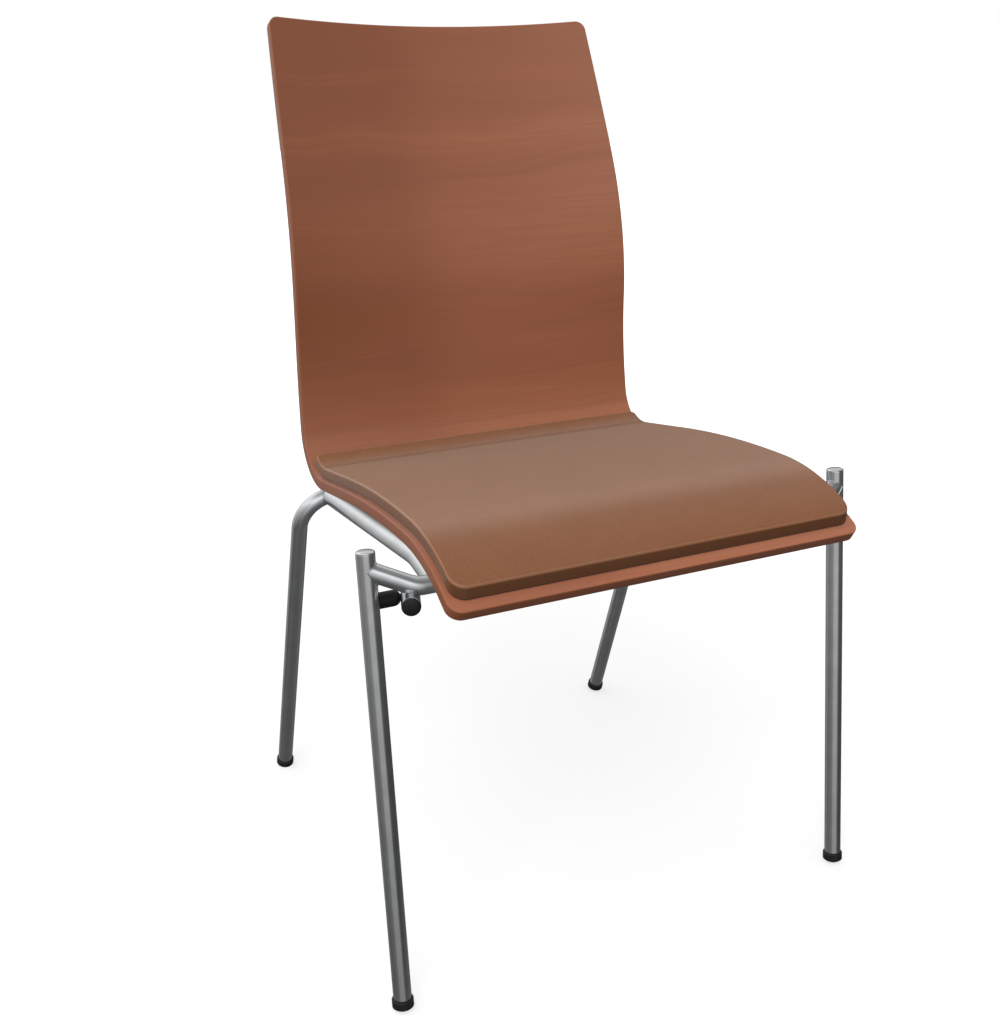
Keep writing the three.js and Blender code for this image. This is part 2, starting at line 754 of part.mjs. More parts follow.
function restPlug(side, end) {
  const { point, tangent } = restLine(side).stations[end];
  const outward = tangent.clone().multiplyScalar(end ? 1 : -1);
  const bore = railDiameter - 2 * railWall - 2 * restGap;
  const place = point.clone().addScaledVector(outward, restGap);
  const matrix = standing(place, outward);
  return domedPlug(railDiameter, bore, restPlugDome, restLength / 4).applyMatrix4(matrix);
}

// A round-ended peg behind a front leg, hollowed where it sits against the tube.
function stackingPeg(side) {
  const radius = pegDiameter / 2;
  const nose = Array.from({ length: domeSteps + 1 }, (_, k) => {
    const angle = (Math.PI / 2) * (k / domeSteps);
    return [k < domeSteps ? radius * Math.cos(angle) : 0, pegReach - radius + radius * Math.sin(angle)];
  });
  const profile = [[0, -pegOverhang], [radius, -pegOverhang], ...nose];
  const inwards = new THREE.Vector3(-side, 0, 0);
  const peg = turned(profile).applyMatrix4(standing(pegPlace(side), inwards));
  const matrix = pegScrewMatrix(side);
  const hole = rod(smallScrew + 2 * restGap, -pegDiameter, pegDiameter).applyMatrix4(matrix);
  const recess = rod(smallScrewHead + 2 * restGap, -pegDiameter, pegHeadSeat).applyMatrix4(matrix);
  return cut(peg, legBar(side, legDiameter + 2 * restGap), hole, recess);
}

// Fasteners

// A screw along local Z: its head hangs below headTop, its shank rises to tip.
function screw(diameter, headDiameter, headHeight, top, tip) {
  const radius = headDiameter / 2;
  const profile = [
    [0, top - headHeight],
    [radius * headCrownShare, top - headHeight],
    [radius, top - headHeight / 2],
    [radius, top],
    [diameter / 2, top],
    [diameter / 2, tip],
    [0, tip],
  ];
  const socketShare = diameter / mountScrew;
  const low = top - headHeight;
  const floor = low + socketDepth * socketShare;
  const socket = rod(socketDiameter * socketShare, low - overrun, floor, socketSides);
  return cut(turned(profile, hardwareSides), socket);
}

const mountScrewPiece = ({ x, distance }) => {
  const piece = screw(mountScrew, mountScrewHead, mountScrewHeadHeight, headTop, insertFloor);
  return piece.applyMatrix4(onShell(x, distance));
};

const padScrewPiece = ({ x, distance }) => {
  const tip = shellThickness + restGap + padScrewBite;
  const piece = screw(smallScrew, smallScrewHead, smallScrewHeadHeight, -restGap, tip);
  return piece.applyMatrix4(onShell(x, distance));
};

function pegScrewPiece(side) {
  const tip = pegSetback - legDiameter / 2 + pegScrewBite;
  const head = pegHeadSeat - restGap;
  const piece = screw(smallScrew, smallScrewHead, smallScrewHeadHeight, head, tip);
  return piece.applyMatrix4(pegScrewMatrix(side));
}

const washer = ({ x, distance }) =>
  cut(
    rod(washerDiameter, washerTop - washerThickness, washerTop),
    rod(mountScrew + 2 * restGap, washerTop - washerThickness - overrun, washerTop + overrun),
  ).applyMatrix4(onShell(x, distance));

// A flanged nut let into the shell from above, under the pad.
function insertNut({ x, distance }) {
  const profile = [
    [0, insertRise],
    [insertBarrel / 2, insertRise],
    [insertBarrel / 2, insertFloor],
    [insertFlange / 2, insertFloor],
    [insertFlange / 2, insertTop],
    [0, insertTop],
  ];
  const bore = rod(mountScrew + 2 * restGap, -overrun, shellThickness + overrun);
  return cut(turned(profile, hardwareSides), bore).applyMatrix4(onShell(x, distance));
}

// Assembly
const chair = new THREE.Group();
const frame = new THREE.Group();
const seat = new THREE.Group();
const fixings = new THREE.Group();
chair.add(frame, seat, fixings);

function add(group, name, geometry, material) {
  const mesh = new THREE.Mesh(geometry, material);
  mesh.name = name;
  group.add(mesh);
}

add(frame, "rear_leg_frame", tube(rearLine, legDiameter, legWall), materials.chrome);
add(frame, "front_cross_tube", frontCrossTube(), materials.chrome);
for (const side of [-1, 1]) {
  const label = sideName(side);
  add(frame, "front_leg_" + label, frontLeg(side), materials.chrome);
  add(frame, "side_rail_" + label, sideRail(side), materials.chrome);
  add(frame, "stacking_rest_" + label, stackingRest(side), materials.chrome);
  add(frame, "stacking_rest_front_plug_" + label, restPlug(side, 1), materials.blackPlastic);
  add(frame, "stacking_rest_rear_plug_" + label, restPlug(side, 0), materials.blackPlastic);
  add(frame, "stacking_peg_" + label, stackingPeg(side), materials.blackPlastic);
  add(frame, "leg_cap_" + label, legCap(side), materials.satinCap);
  add(frame, "front_glide_" + label, glide(frontFoot(side), frontLegDirection), materials.blackPlastic);
  add(frame, "rear_glide_" + label, glide(rearFoot(side), rearLegDirection), materials.blackPlastic);
  add(fixings, "stacking_peg_screw_" + label, pegScrewPiece(side), materials.zincSteel);
}
add(seat, "plywood_shell", plywoodShell(), materials.plywood);
add(seat, "seat_pad_cover", padCover(), materials.leather);
add(seat, "seat_pad_foam", padFoam(), materials.foam);
add(seat, "seat_pad_board", padBoard(), materials.board);
for (const mount of mounts) {
  const plate = mount.distance === frontMount ? frontBracket(mount) : rearPlate(mount);
  add(frame, "mount_plate_" + mount.name, plate, materials.chrome);
  add(fixings, "mount_washer_" + mount.name, washer(mount), materials.rubber);
  add(fixings, "mount_screw_" + mount.name, mountScrewPiece(mount), materials.zincSteel);
  add(fixings, "insert_nut_" + mount.name, insertNut(mount), materials.zincSteel);
}
for (const padScrew of padScrews)
  add(fixings, "pad_screw_" + padScrew.name, padScrewPiece(padScrew), materials.zincSteel);

// The origin goes under the middle of the chair's depth.
const extent = new THREE.Box3().setFromObject(chair);
for (const group of [frame, seat, fixings]) group.position.y = -(extent.min.y + extent.max.y) / 2;

export default chair;
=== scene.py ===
# %% [markdown]
# ## A stacking choir chair
# The real chair is one bent sheet of beech plywood with a thin leather pad, carried by a frame of
# chromed steel tube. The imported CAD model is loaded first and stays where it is. Every piece
# below is made round it, in metres, with +Z up and the chair facing -Y.

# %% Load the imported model
import math

import bmesh
import bpy
from mathutils import Matrix, Vector


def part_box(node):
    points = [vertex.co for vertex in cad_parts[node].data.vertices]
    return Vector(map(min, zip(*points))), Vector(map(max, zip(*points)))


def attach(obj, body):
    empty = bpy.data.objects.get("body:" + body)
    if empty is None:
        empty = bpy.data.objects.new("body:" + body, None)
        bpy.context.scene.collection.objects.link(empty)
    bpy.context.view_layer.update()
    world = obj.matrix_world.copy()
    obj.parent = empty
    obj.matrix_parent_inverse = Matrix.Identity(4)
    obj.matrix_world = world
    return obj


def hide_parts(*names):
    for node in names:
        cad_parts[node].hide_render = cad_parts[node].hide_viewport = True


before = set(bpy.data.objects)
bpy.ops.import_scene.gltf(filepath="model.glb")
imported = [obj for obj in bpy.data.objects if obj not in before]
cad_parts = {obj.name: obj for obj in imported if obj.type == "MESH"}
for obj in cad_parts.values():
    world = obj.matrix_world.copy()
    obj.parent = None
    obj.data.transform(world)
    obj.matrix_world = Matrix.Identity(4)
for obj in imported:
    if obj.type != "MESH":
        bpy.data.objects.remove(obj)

MM = 0.001
SIDES = {"left": -1, "right": 1}
scene = bpy.context.scene
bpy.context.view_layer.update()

# %% [markdown]
# ## The camera
# The photograph looks down on the chair's left front corner. The place, the turn and the focal
# length were worked out from pairs of points that mirror each other across the chair, such as
# its four feet, so the render lies on the photograph.

# %% Camera
CAMERA_YAW = math.radians(26.50)
CAMERA_PITCH = math.radians(19.854)
camera_data = bpy.data.cameras.new("photo_camera")
camera_data.sensor_width = 36
camera_data.lens = 43.665
camera = bpy.data.objects.new("photo_camera", camera_data)
camera.location = (-0.61457, -1.15268, 0.86392)
camera.rotation_euler = (math.pi / 2 - CAMERA_PITCH, 0, -CAMERA_YAW)
scene.collection.objects.link(camera)
scene.camera = camera
print("camera at", [round(n, 3) for n in camera.location], "lens", round(camera_data.lens, 2))

# %% [markdown]
# ## Light and floor
# The photograph has a white ground and soft light with hardly a shadow. Polished chrome shows
# what stands round it, so what glossy rays meet is set apart from what falls on the chair. The
# mirrored studio is bright at eye height and above, and dark below. Two dark screens on its
# right draw the dark line beside the streak on each tube, and a grey one on the left dims the
# legs' outer sides. Its tones come from brightness read across the photographed tubes. Wood,
# leather and floor are lit by an even sky and one lamp. The camera alone sees plain white.

# %% World
world = bpy.data.worlds.new("studio")
scene.world = world
world.use_nodes = True
sky = world.node_tree
sky.nodes.clear()

# %% Tones of the studio
# Brightness by height: -1 is straight down, 0 the horizon and 1 straight up
SKY_TONES = {
    -1.0: 0.10, -0.85: 0.12, -0.6: 0.19, -0.44: 0.30, -0.34: 0.40, -0.22: 0.53, -0.08: 0.63,
    0.1: 0.83, 0.27: 1.1, 0.43: 1.28, 0.58: 1.25, 0.7: 1.08, 0.85: 0.62, 1.0: 0.45,
}
# Each screen: its bearing, half its full and half its whole width in degrees, the share of light
# that it lets by, and how dense it is by height
SCREENS = [
    (57, 27, 52, 0.2, {-0.65: 0.0, -0.45: 1.0, 0.75: 1.0, 0.95: 0.3}),
    (137, 29, 53, 0.2, {-0.65: 0.0, -0.45: 1.0, 0.28: 1.0, 0.42: 0.5, 0.7: 0.4, 0.9: 0.0}),
    (-88, 30, 50, 0.58, {-0.75: 0.0, -0.6: 1.0, 0.3: 1.0, 0.6: 0.0}),
]
# What falls on wood, leather and floor is softer: even light from above, more of it from the left
DAYLIGHT_TONES = {-1.0: 0.14, -0.05: 0.14, 0.15: 0.8, 0.55: 1.3, 1.0: 1.75}
DAYLIGHT_BEARING = -75
DAYLIGHT_SWING = 0.3
print("sky tones", len(SKY_TONES), "screens", len(SCREENS), "daylight", len(DAYLIGHT_TONES))


# %% Helpers for the sky
def sky_node(kind, links=(), values=(), **settings):
    made = sky.nodes.new(kind)
    for name, value in settings.items():
        setattr(made, name, value)
    for socket, source in dict(links).items():
        sky.links.new(source, made.inputs[socket])
    for socket, value in dict(values).items():
        made.inputs[socket].default_value = value
    return made.outputs


def set_stops(ramp, tones):
    """Gives a colour ramp a grey stop for each place."""
    while len(ramp.elements) < len(tones):
        ramp.elements.new(0.5)
    for stop, (place, tone) in zip(ramp.elements, sorted(tones.items())):
        stop.position, stop.color = place, (tone, tone, tone, 1)


def by_height(tones, height):
    """A brightness that is given at a few heights and runs straight between them."""
    share = sky_node("ShaderNodeMapRange", {"Value": height}, {"From Min": -1})["Result"]
    outputs = sky_node("ShaderNodeValToRGB", {"Fac": share})
    shares = {(place + 1) / 2: tone for place, tone in tones.items()}
    set_stops(outputs["Color"].node.color_ramp, shares)
    return outputs["Color"]


def aligned(level, bearing):
    """The cosine of the angle to a compass bearing, counted from straight ahead of the chair."""
    towards = (math.sin(math.radians(bearing)), -math.cos(math.radians(bearing)), 0)
    return sky_node(
        "ShaderNodeVectorMath", {0: level}, {1: towards}, operation="DOT_PRODUCT"
    )["Value"]


def by_bearing(level, bearing, full, none):
    """One towards a compass bearing and zero away from it."""
    limits = {"From Min": math.cos(math.radians(none)), "From Max": math.cos(math.radians(full))}
    return sky_node(
        "ShaderNodeMapRange", {"Value": aligned(level, bearing)}, limits,
        interpolation_type="SMOOTHSTEP",
    )["Result"]


# %% What metal mirrors
direction = sky_node("ShaderNodeTexCoord")["Generated"]
height = sky_node("ShaderNodeSeparateXYZ", {0: direction})["Z"]
flat = sky_node("ShaderNodeVectorMath", {0: direction}, {1: (1, 1, 0)}, operation="MULTIPLY")[0]
level = sky_node("ShaderNodeVectorMath", {0: flat}, operation="NORMALIZE")[0]
total = by_height(SKY_TONES, height)
for bearing, full, none, share, density in SCREENS:
    dense = sky_node(
        "ShaderNodeMath",
        {0: by_bearing(level, bearing, full, none), 1: by_height(density, height)},
        operation="MULTIPLY",
    )[0]
    kept = sky_node("ShaderNodeMapRange", {"Value": dense}, {"To Min": 1.0, "To Max": share})
    total = sky_node("ShaderNodeMath", {0: total, 1: kept["Result"]}, operation="MULTIPLY")[0]

# %% What falls on the chair, and what the camera sees
swing = sky_node(
    "ShaderNodeMapRange", {"Value": aligned(level, DAYLIGHT_BEARING)},
    {"From Min": -1.0, "To Min": 1 - DAYLIGHT_SWING, "To Max": 1 + DAYLIGHT_SWING},
)["Result"]
daylight = sky_node(
    "ShaderNodeMath", {0: by_height(DAYLIGHT_TONES, height), 1: swing}, operation="MULTIPLY"
)[0]
mirrored = sky_node("ShaderNodeBackground", {"Strength": total})[0]
falling = sky_node("ShaderNodeBackground", {"Strength": daylight})[0]
seen = sky_node("ShaderNodeBackground")[0]
for shade in (mirrored, falling, seen):
    shade.node.inputs["Color"].default_value = (1, 1, 1, 1)
ray = sky_node("ShaderNodeLightPath")
lit = sky_node("ShaderNodeMixShader", {0: ray["Is Glossy Ray"], 1: falling, 2: mirrored})[0]
both = sky_node("ShaderNodeMixShader", {0: ray["Is Camera Ray"], 1: lit, 2: seen})[0]
sky_node("ShaderNodeOutputWorld", {"Surface": both})
scene.view_settings.view_transform = "Standard"
print("sky nodes", len(sky.nodes))

# %% Lamp
LAMP_PLACE = Vector((-3.0, -3.4, 4.6))
LAMP_TARGET = Vector((0, 0, 0.6))
LAMP_SIZE = 2.6
LAMP_WATTS = 175
lamp = bpy.data.lights.new("key", "AREA")
lamp.size, lamp.energy = LAMP_SIZE, LAMP_WATTS
holder = bpy.data.objects.new("key", lamp)
holder.location = LAMP_PLACE
holder.rotation_euler = (LAMP_TARGET - LAMP_PLACE).to_track_quat("-Z", "Y").to_euler()
holder.visible_glossy = False
scene.collection.objects.link(holder)
print("lamp", LAMP_WATTS, "W,", round((LAMP_TARGET - LAMP_PLACE).length, 2), "m from the chair")

# %% [markdown]
# ## Node recipes
# Each finish below is a small node tree. These helpers add a node, set or link its sockets and
# hand back its result, so a finish reads as a list of steps.


# %% Helpers for materials
class Recipe:
    """A node tree that is being put together."""

    def __init__(self, tree):
        self.tree = tree

    def node(self, kind, sockets=(), **settings):
        made = self.tree.nodes.new(kind)
        for name, value in settings.items():
            setattr(made, name, value)
        for key, value in dict(sockets).items():
            self.feed(made.inputs[key], value)
        return made

    def feed(self, socket, value):
        if isinstance(value, bpy.types.NodeSocket):
            self.tree.links.new(value, socket)
        else:
            socket.default_value = value

    def coordinates(self):
        return self.node("ShaderNodeTexCoord").outputs["Object"]

    def attribute(self, name):
        return self.node("ShaderNodeAttribute", attribute_name=name).outputs["Vector"]

    def stretch(self, vector, scale, turn=(0, 0, 0)):
        sockets = {"Vector": vector, "Scale": scale, "Rotation": turn}
        return self.node("ShaderNodeMapping", sockets).outputs[0]

    def noise(self, vector, scale, detail=2.0, rough=0.5, distortion=0.0):
        sockets = {
            "Vector": vector, "Scale": scale, "Detail": detail,
            "Roughness": rough, "Distortion": distortion,
        }
        return self.node("ShaderNodeTexNoise", sockets).outputs["Fac"]

    def maths(self, operation, a, b=0.0):
        made = self.node("ShaderNodeMath", {0: a, 1: b}, operation=operation)
        return made.outputs[0]

    def span(self, value, low, high, new_low=0.0, new_high=1.0, smooth=True):
        sockets = {
            "Value": value, "From Min": low, "From Max": high,
            "To Min": new_low, "To Max": new_high,
        }
        kind = "SMOOTHSTEP" if smooth else "LINEAR"
        made = self.node("ShaderNodeMapRange", sockets, interpolation_type=kind)
        return made.outputs["Result"]

    def band(self, value, rise, fall, peak=1.0):
        """Rises from zero over one range and falls back to it over another."""
        risen = self.span(value, *rise, 0.0, peak)
        return self.maths("MULTIPLY", risen, self.span(value, *fall, 1.0, 0.0))

    def blend(self, share, a, b):
        return self.node("ShaderNodeMix", {0: share, 6: a, 7: b}, data_type="RGBA").outputs[2]

    def parts(self, vector):
        return self.node("ShaderNodeSeparateXYZ", {0: vector}).outputs

    def bump(self, height, distance):
        sockets = {"Height": height, "Distance": distance, "Strength": 1.0}
        return self.node("ShaderNodeBump", sockets).outputs["Normal"]


def new_group(name, inputs, outputs):
    """A shader node group with named inputs, each with its default, and named outputs."""
    tree = bpy.data.node_groups.new(name, "ShaderNodeTree")
    kinds = {float: "NodeSocketFloat", tuple: "NodeSocketVector"}
    for label, default in inputs.items():
        socket = tree.interface.new_socket(label, in_out="INPUT", socket_type=kinds[type(default)])
        socket.default_value = default
    for label in outputs:
        tree.interface.new_socket(label, in_out="OUTPUT", socket_type="NodeSocketFloat")
    recipe = Recipe(tree)
    return recipe, recipe.node("NodeGroupInput").outputs, recipe.node("NodeGroupOutput").inputs


def new_finish(name, base=(1, 1, 1), **shine):
    """A material with one Principled shader, and the recipe that feeds it."""
    material = bpy.data.materials.new(name)
    material.use_nodes = True
    tree = material.node_tree
    shader = tree.nodes["Principled BSDF"]
    shader.inputs["Base Color"].default_value = (*base, 1)
    for label, value in shine.items():
        shader.inputs[label.replace("_", " ")].default_value = value
    return material, Recipe(tree), shader.inputs


def use_group(recipe, group, **sockets):
    made = recipe.node("ShaderNodeGroup", node_tree=group.tree)
    for label, value in sockets.items():
        recipe.feed(made.inputs[label.replace("_", " ")], value)
    return made.outputs


# %% [markdown]
# ## Shared effects
# Two effects turn up in several finishes, so each is a node group. Handling dulls a smooth
# surface in soft patches and hairlines. A pebbled surface, on leather and on moulded plastic,
# is a net of small cells. Copied into each finish they would drift apart. A group is built once
# and gets its own values wherever it is placed.

# %% Handling marks
handling, inside, outside = new_group(
    "handling marks",
    {"Vector": (0.0, 0.0, 0.0), "Roughness": 0.2, "Patches": 0.05, "Hairlines": 0.02},
    ["Roughness"],
)
patches = handling.noise(inside["Vector"], 9.0, 4.0, 0.6)
hair_place = handling.stretch(inside["Vector"], (900, 60, 200), (0.3, 0.5, 0.9))
hairs = handling.span(handling.noise(hair_place, 1.0, 3.0, 0.7), 0.55, 0.75)
from_patches = handling.maths("MULTIPLY", handling.span(patches, 0.35, 0.75), inside["Patches"])
from_hairs = handling.maths("MULTIPLY", hairs, inside["Hairlines"])
marks = handling.maths("ADD", from_patches, from_hairs)
handling.feed(outside["Roughness"], handling.maths("ADD", marks, inside["Roughness"]))
print("handling marks", len(handling.tree.nodes), "nodes")

# %% Pebbled surface
CELL_SHIFT = 2.2 * MM  # how far noise moves the cells about, so that they aren't regular
pebbles, inside, outside = new_group(
    "pebbled surface",
    {"Vector": (0.0, 0.0, 0.0), "Scale": 700.0, "Softness": 0.35},
    ["Height", "Valleys"],
)
warp = pebbles.node("ShaderNodeTexNoise", {"Vector": inside["Vector"], "Scale": 160.0})
shifted = pebbles.node("ShaderNodeVectorMath", operation="MULTIPLY_ADD")
pebbles.feed(shifted.inputs[0], warp.outputs["Color"])
shifted.inputs[1].default_value = (CELL_SHIFT,) * 3
pebbles.feed(shifted.inputs[2], inside["Vector"])
cells = pebbles.node(
    "ShaderNodeTexVoronoi",
    {"Vector": shifted.outputs[0], "Scale": inside["Scale"]},
    feature="SMOOTH_F1",
)
pebbles.feed(cells.inputs["Smoothness"], inside["Softness"])
tops = pebbles.span(cells.outputs["Distance"], 0.0, 0.7, 1.0, 0.0)
small = pebbles.noise(inside["Vector"], 2400.0, 2.0, 0.6)
pebbles.feed(outside["Height"], pebbles.maths("ADD", tops, pebbles.maths("MULTIPLY", small, 0.3)))
pebbles.feed(outside["Valleys"], pebbles.span(cells.outputs["Distance"], 0.35, 0.75))
print("pebbled surface", len(pebbles.tree.nodes), "nodes")

# %% [markdown]
# ## Finishes
# Red-brown stained beech, a cooler brown leather, bright chrome and black plastic. The colours
# were fitted under this light: mean tones were measured in the photograph and in each render,
# and the colours changed until they came near.

# %% [markdown]
# ## Chrome and steel
# The tubes are plated with polished chrome, which has hardly a colour of its own. A metal of
# even roughness would mirror too cleanly. So handling marks vary its roughness and a slight
# ripple bends what it mirrors. The same recipe with other values gives the caps' satin, the
# screws' zinc and the welds, so all the metals look related.


# %% Chrome and steel
def polished(name, base, roughness, patches=0.05, hairlines=0.03, ripple=0.02 * MM):
    material, recipe, shader = new_finish(name, base, Metallic=1.0)
    place = recipe.coordinates()
    marks = use_group(
        recipe, handling, Vector=place, Roughness=roughness, Patches=patches, Hairlines=hairlines
    )
    recipe.feed(shader["Roughness"], marks["Roughness"])
    waves = recipe.noise(place, 55.0, 2.0)
    dull, bright = ((*[min(1, c * share) for c in base], 1) for share in (0.96, 1.04))
    recipe.feed(shader["Base Color"], recipe.blend(recipe.span(waves, 0.3, 0.7), dull, bright))
    recipe.feed(shader["Normal"], recipe.bump(waves, ripple))
    return material


chrome = polished("chrome", (0.62, 0.63, 0.64), 0.17)
satin_cap = polished("satin_cap", (0.72, 0.72, 0.73), 0.28, 0.08, 0.06)
zinc_steel = polished("zinc_steel", (0.55, 0.56, 0.55), 0.34, 0.12, 0.1, 0.04 * MM)
weld_steel = polished("weld_chrome", (0.55, 0.56, 0.57), 0.26, 0.1, 0.02, 0.1 * MM)
print("metals", [finish.name for finish in (chrome, satin_cap, zinc_steel, weld_steel)])

# %% [markdown]
# ## Black plastic and rubber
# Glides, plugs and pegs are moulded in black plastic with a fine texture, and the washers are
# rubber. A picture of the grain would need a UV map on each small piece. Cells in object
# coordinates need none and keep one size on all of them. Noise makes some places look rubbed.


# %% Black plastic and rubber
def moulded(name, base, roughness, grain, depth):
    material, recipe, shader = new_finish(name, base)
    place = recipe.coordinates()
    marks = use_group(
        recipe, handling, Vector=place, Roughness=roughness, Patches=0.12, Hairlines=0.08
    )
    recipe.feed(shader["Roughness"], marks["Roughness"])
    cells = use_group(recipe, pebbles, Vector=place, Scale=grain)
    worn = tuple(min(1, c * 1.7 + 0.004) for c in base)
    rubbed = recipe.span(recipe.noise(place, 90.0, 4.0, 0.65), 0.5, 0.75)
    recipe.feed(shader["Base Color"], recipe.blend(rubbed, (*base, 1), (*worn, 1)))
    recipe.feed(shader["Normal"], recipe.bump(cells["Height"], depth))
    shader["Specular IOR Level"].default_value = 0.3
    return material


black_plastic = moulded("black_plastic", (0.007, 0.007, 0.0075), 0.45, 1500.0, 0.03 * MM)
rubber = moulded("rubber", (0.02, 0.02, 0.021), 0.72, 1100.0, 0.06 * MM)
print("moulded finishes", black_plastic.name, rubber.name)

# %% [markdown]
# ## Stained beech veneer
# The shell's faces are sliced beech, stained red-brown under a satin lacquer, with the grain
# running across the chair. A picture of wood would repeat itself, so the figure is made of
# noise: clouds, rings, fine streaks and short pores, each drawn out along the grain. It is read
# from the flat blank, so it follows the bends, and the pressed layers show on the rim alone.

# %% Stained beech veneer
BEECH_LIGHT = (0.292, 0.100, 0.046, 1)
BEECH_DARK = (0.190, 0.058, 0.024, 1)
PORE = (0.115, 0.034, 0.014, 1)
plywood, recipe, shader = new_finish("stained_beech")
blank = recipe.attribute("blank")
across = recipe.parts(blank)
# Lighter and darker belts cross the blank, softened by clouds. They are partly the veneer's own
# banding and partly painted light and shade: the lip is painted paler, the middle of the back
# lighter and its top darker. The left half is painted darker and the right edge a little lighter:
# painted shade and light from the side.
VENEER_BANDS_AND_PAINTED_LIGHT = {
    0.0: 0.92, 0.06: 0.80, 0.12: 0.64, 0.47: 0.66, 0.53: 0.42, 0.56: 0.34, 0.61: 0.40, 0.64: 0.70,
    0.70: 0.74, 0.76: 0.45, 0.80: 0.40, 0.86: 0.20, 1.0: 0.20,
}
bands_and_painted_light = recipe.node("ShaderNodeValToRGB", {"Fac": across["Y"]})
set_stops(bands_and_painted_light.color_ramp, VENEER_BANDS_AND_PAINTED_LIGHT)
clouds = recipe.noise(recipe.stretch(blank, (1.3, 8.0, 1.0)), 1.0, 3.0, 0.5, 0.4)
cloudy = recipe.span(clouds, 0.3, 0.7, -0.16, 0.16)
painted_side_shade_and_light = recipe.maths(
    "ADD",
    recipe.span(across["X"], -0.09, 0.01, -0.34, 0.0),
    recipe.span(across["X"], 0.0, 0.22, 0.0, 0.14, smooth=False),
)
light = recipe.maths("ADD", bands_and_painted_light.outputs["Color"], recipe.maths("ADD", cloudy, painted_side_shade_and_light))
tone = recipe.blend(light, BEECH_DARK, BEECH_LIGHT)

# %% Rings, streaks and pores
# A few growth rings run through it as narrow wandering bands.
wander = recipe.noise(recipe.stretch(blank, (2.6, 5.0, 1.0)), 1.0, 2.0)
swerve = recipe.maths("MULTIPLY", recipe.maths("SUBTRACT", wander, 0.5), 0.10)
swerved = recipe.maths("ADD", across["Y"], swerve)
ring_place = recipe.node("ShaderNodeCombineXYZ", {"X": 3.7, "Y": swerved}).outputs[0]
rings = recipe.noise(ring_place, 30.0, 3.0, 0.65)
tone = recipe.blend(recipe.span(rings, 0.52, 0.70, 0.0, 0.55), tone, BEECH_DARK)
tone = recipe.blend(recipe.span(rings, 0.30, 0.44, 0.30, 0.0), tone, BEECH_LIGHT)
# Fine streaks follow the grain, and short dark pores sit in it.
streaks = recipe.noise(recipe.stretch(blank, (7.0, 330.0, 60.0)), 1.0, 4.0, 0.6)
tone = recipe.blend(recipe.span(streaks, 0.35, 0.7, 0.0, 0.28), tone, BEECH_DARK)
flecks = recipe.noise(recipe.stretch(blank, (150.0, 1900.0, 60.0)), 1.0, 2.0, 0.7)
flecks = recipe.span(flecks, 0.62, 0.72)
tone = recipe.blend(recipe.maths("MULTIPLY", flecks, 0.25), tone, PORE)

# %% Pressed layers on the rim
# They show where the depth in the blank is between the two faces.
PLY_COUNT = 9
SHELL_THICKNESS = 12 * MM
depth = across["Z"]
FACE_PLY = (0.3 * MM, 0.9 * MM)
far_ply = [SHELL_THICKNESS - edge for edge in reversed(FACE_PLY)]
on_rim = recipe.band(depth, FACE_PLY, far_ply)
half_turns = recipe.maths("MULTIPLY", depth, math.pi * PLY_COUNT / SHELL_THICKNESS)
layer = recipe.span(recipe.maths("SINE", half_turns), -0.3, 0.3)
end_grain = recipe.noise(recipe.stretch(blank, (700.0, 700.0, 900.0)), 1.0, 3.0, 0.6)
layer_tone = recipe.blend(layer, BEECH_LIGHT, BEECH_DARK)
layer_tone = recipe.blend(recipe.span(end_grain, 0.3, 0.7, 0.0, 0.3), layer_tone, PORE)
tone = recipe.blend(on_rim, tone, layer_tone)
recipe.feed(shader["Base Color"], tone)
marks = use_group(recipe, handling, Vector=blank, Roughness=0.33, Patches=0.05, Hairlines=0.02)
sealed = recipe.maths("ADD", marks["Roughness"], recipe.maths("MULTIPLY", on_rim, 0.12))
recipe.feed(shader["Roughness"], sealed)
relief = recipe.maths("SUBTRACT", streaks, flecks)
recipe.feed(shader["Normal"], recipe.bump(relief, 0.02 * MM))
print("veneer", len(plywood.node_tree.nodes), "nodes,", PLY_COUNT, "layers")

# %% [markdown]
# ## Brown leather
# The pad is covered with a fine-grained hide. One even colour would
# look like plastic. Small cells give the grain and noise mottles it. Masks read from the blank
# paint shade down the front edge, a highlight along the rim and a sheen on top, paler and
# glossier, so they stay in place from every side.

# %% Brown leather
LEATHER_LIGHT = (0.178, 0.067, 0.024, 1)
LEATHER_DARK = (0.164, 0.061, 0.021, 1)
LEATHER_VALLEY_AND_SHADE = (0.108, 0.039, 0.014, 1)
LEATHER_PAINTED_SHADE = (0.094, 0.035, 0.014, 1)
LEATHER_PAINTED_HIGHLIGHT = (0.235, 0.105, 0.052, 1)
# Where its parts fade in or out, along the blank and in height over the shell's underside
FRONT_SHADE_REACH = (14 * MM, 27 * MM)
SEAT_FADE = (58 * MM, 98 * MM)
REAR_FADE = (360 * MM, 376 * MM)
FRONT_SHADE_HEIGHT = (22 * MM, 23.4 * MM)
RIM_HIGHLIGHT_START = (22.6 * MM, 23.8 * MM)
RIM_HIGHLIGHT_END = (24.4 * MM, 24.78 * MM)
TOP_FADE = (22 * MM, 24.4 * MM)

# %% Colour of the leather
leather, recipe, shader = new_finish("brown_leather")
place = recipe.coordinates()
blank = recipe.parts(recipe.attribute("blank"))
along, height = blank["Y"], blank["Z"]
cells = use_group(recipe, pebbles, Vector=place, Scale=620.0, Softness=0.4)
mottle = recipe.noise(place, 22.0, 4.0, 0.6)
tone = recipe.blend(recipe.span(mottle, 0.3, 0.7), LEATHER_DARK, LEATHER_LIGHT)
tone = recipe.blend(recipe.maths("MULTIPLY", cells["Valleys"], 0.35), tone, LEATHER_VALLEY_AND_SHADE)
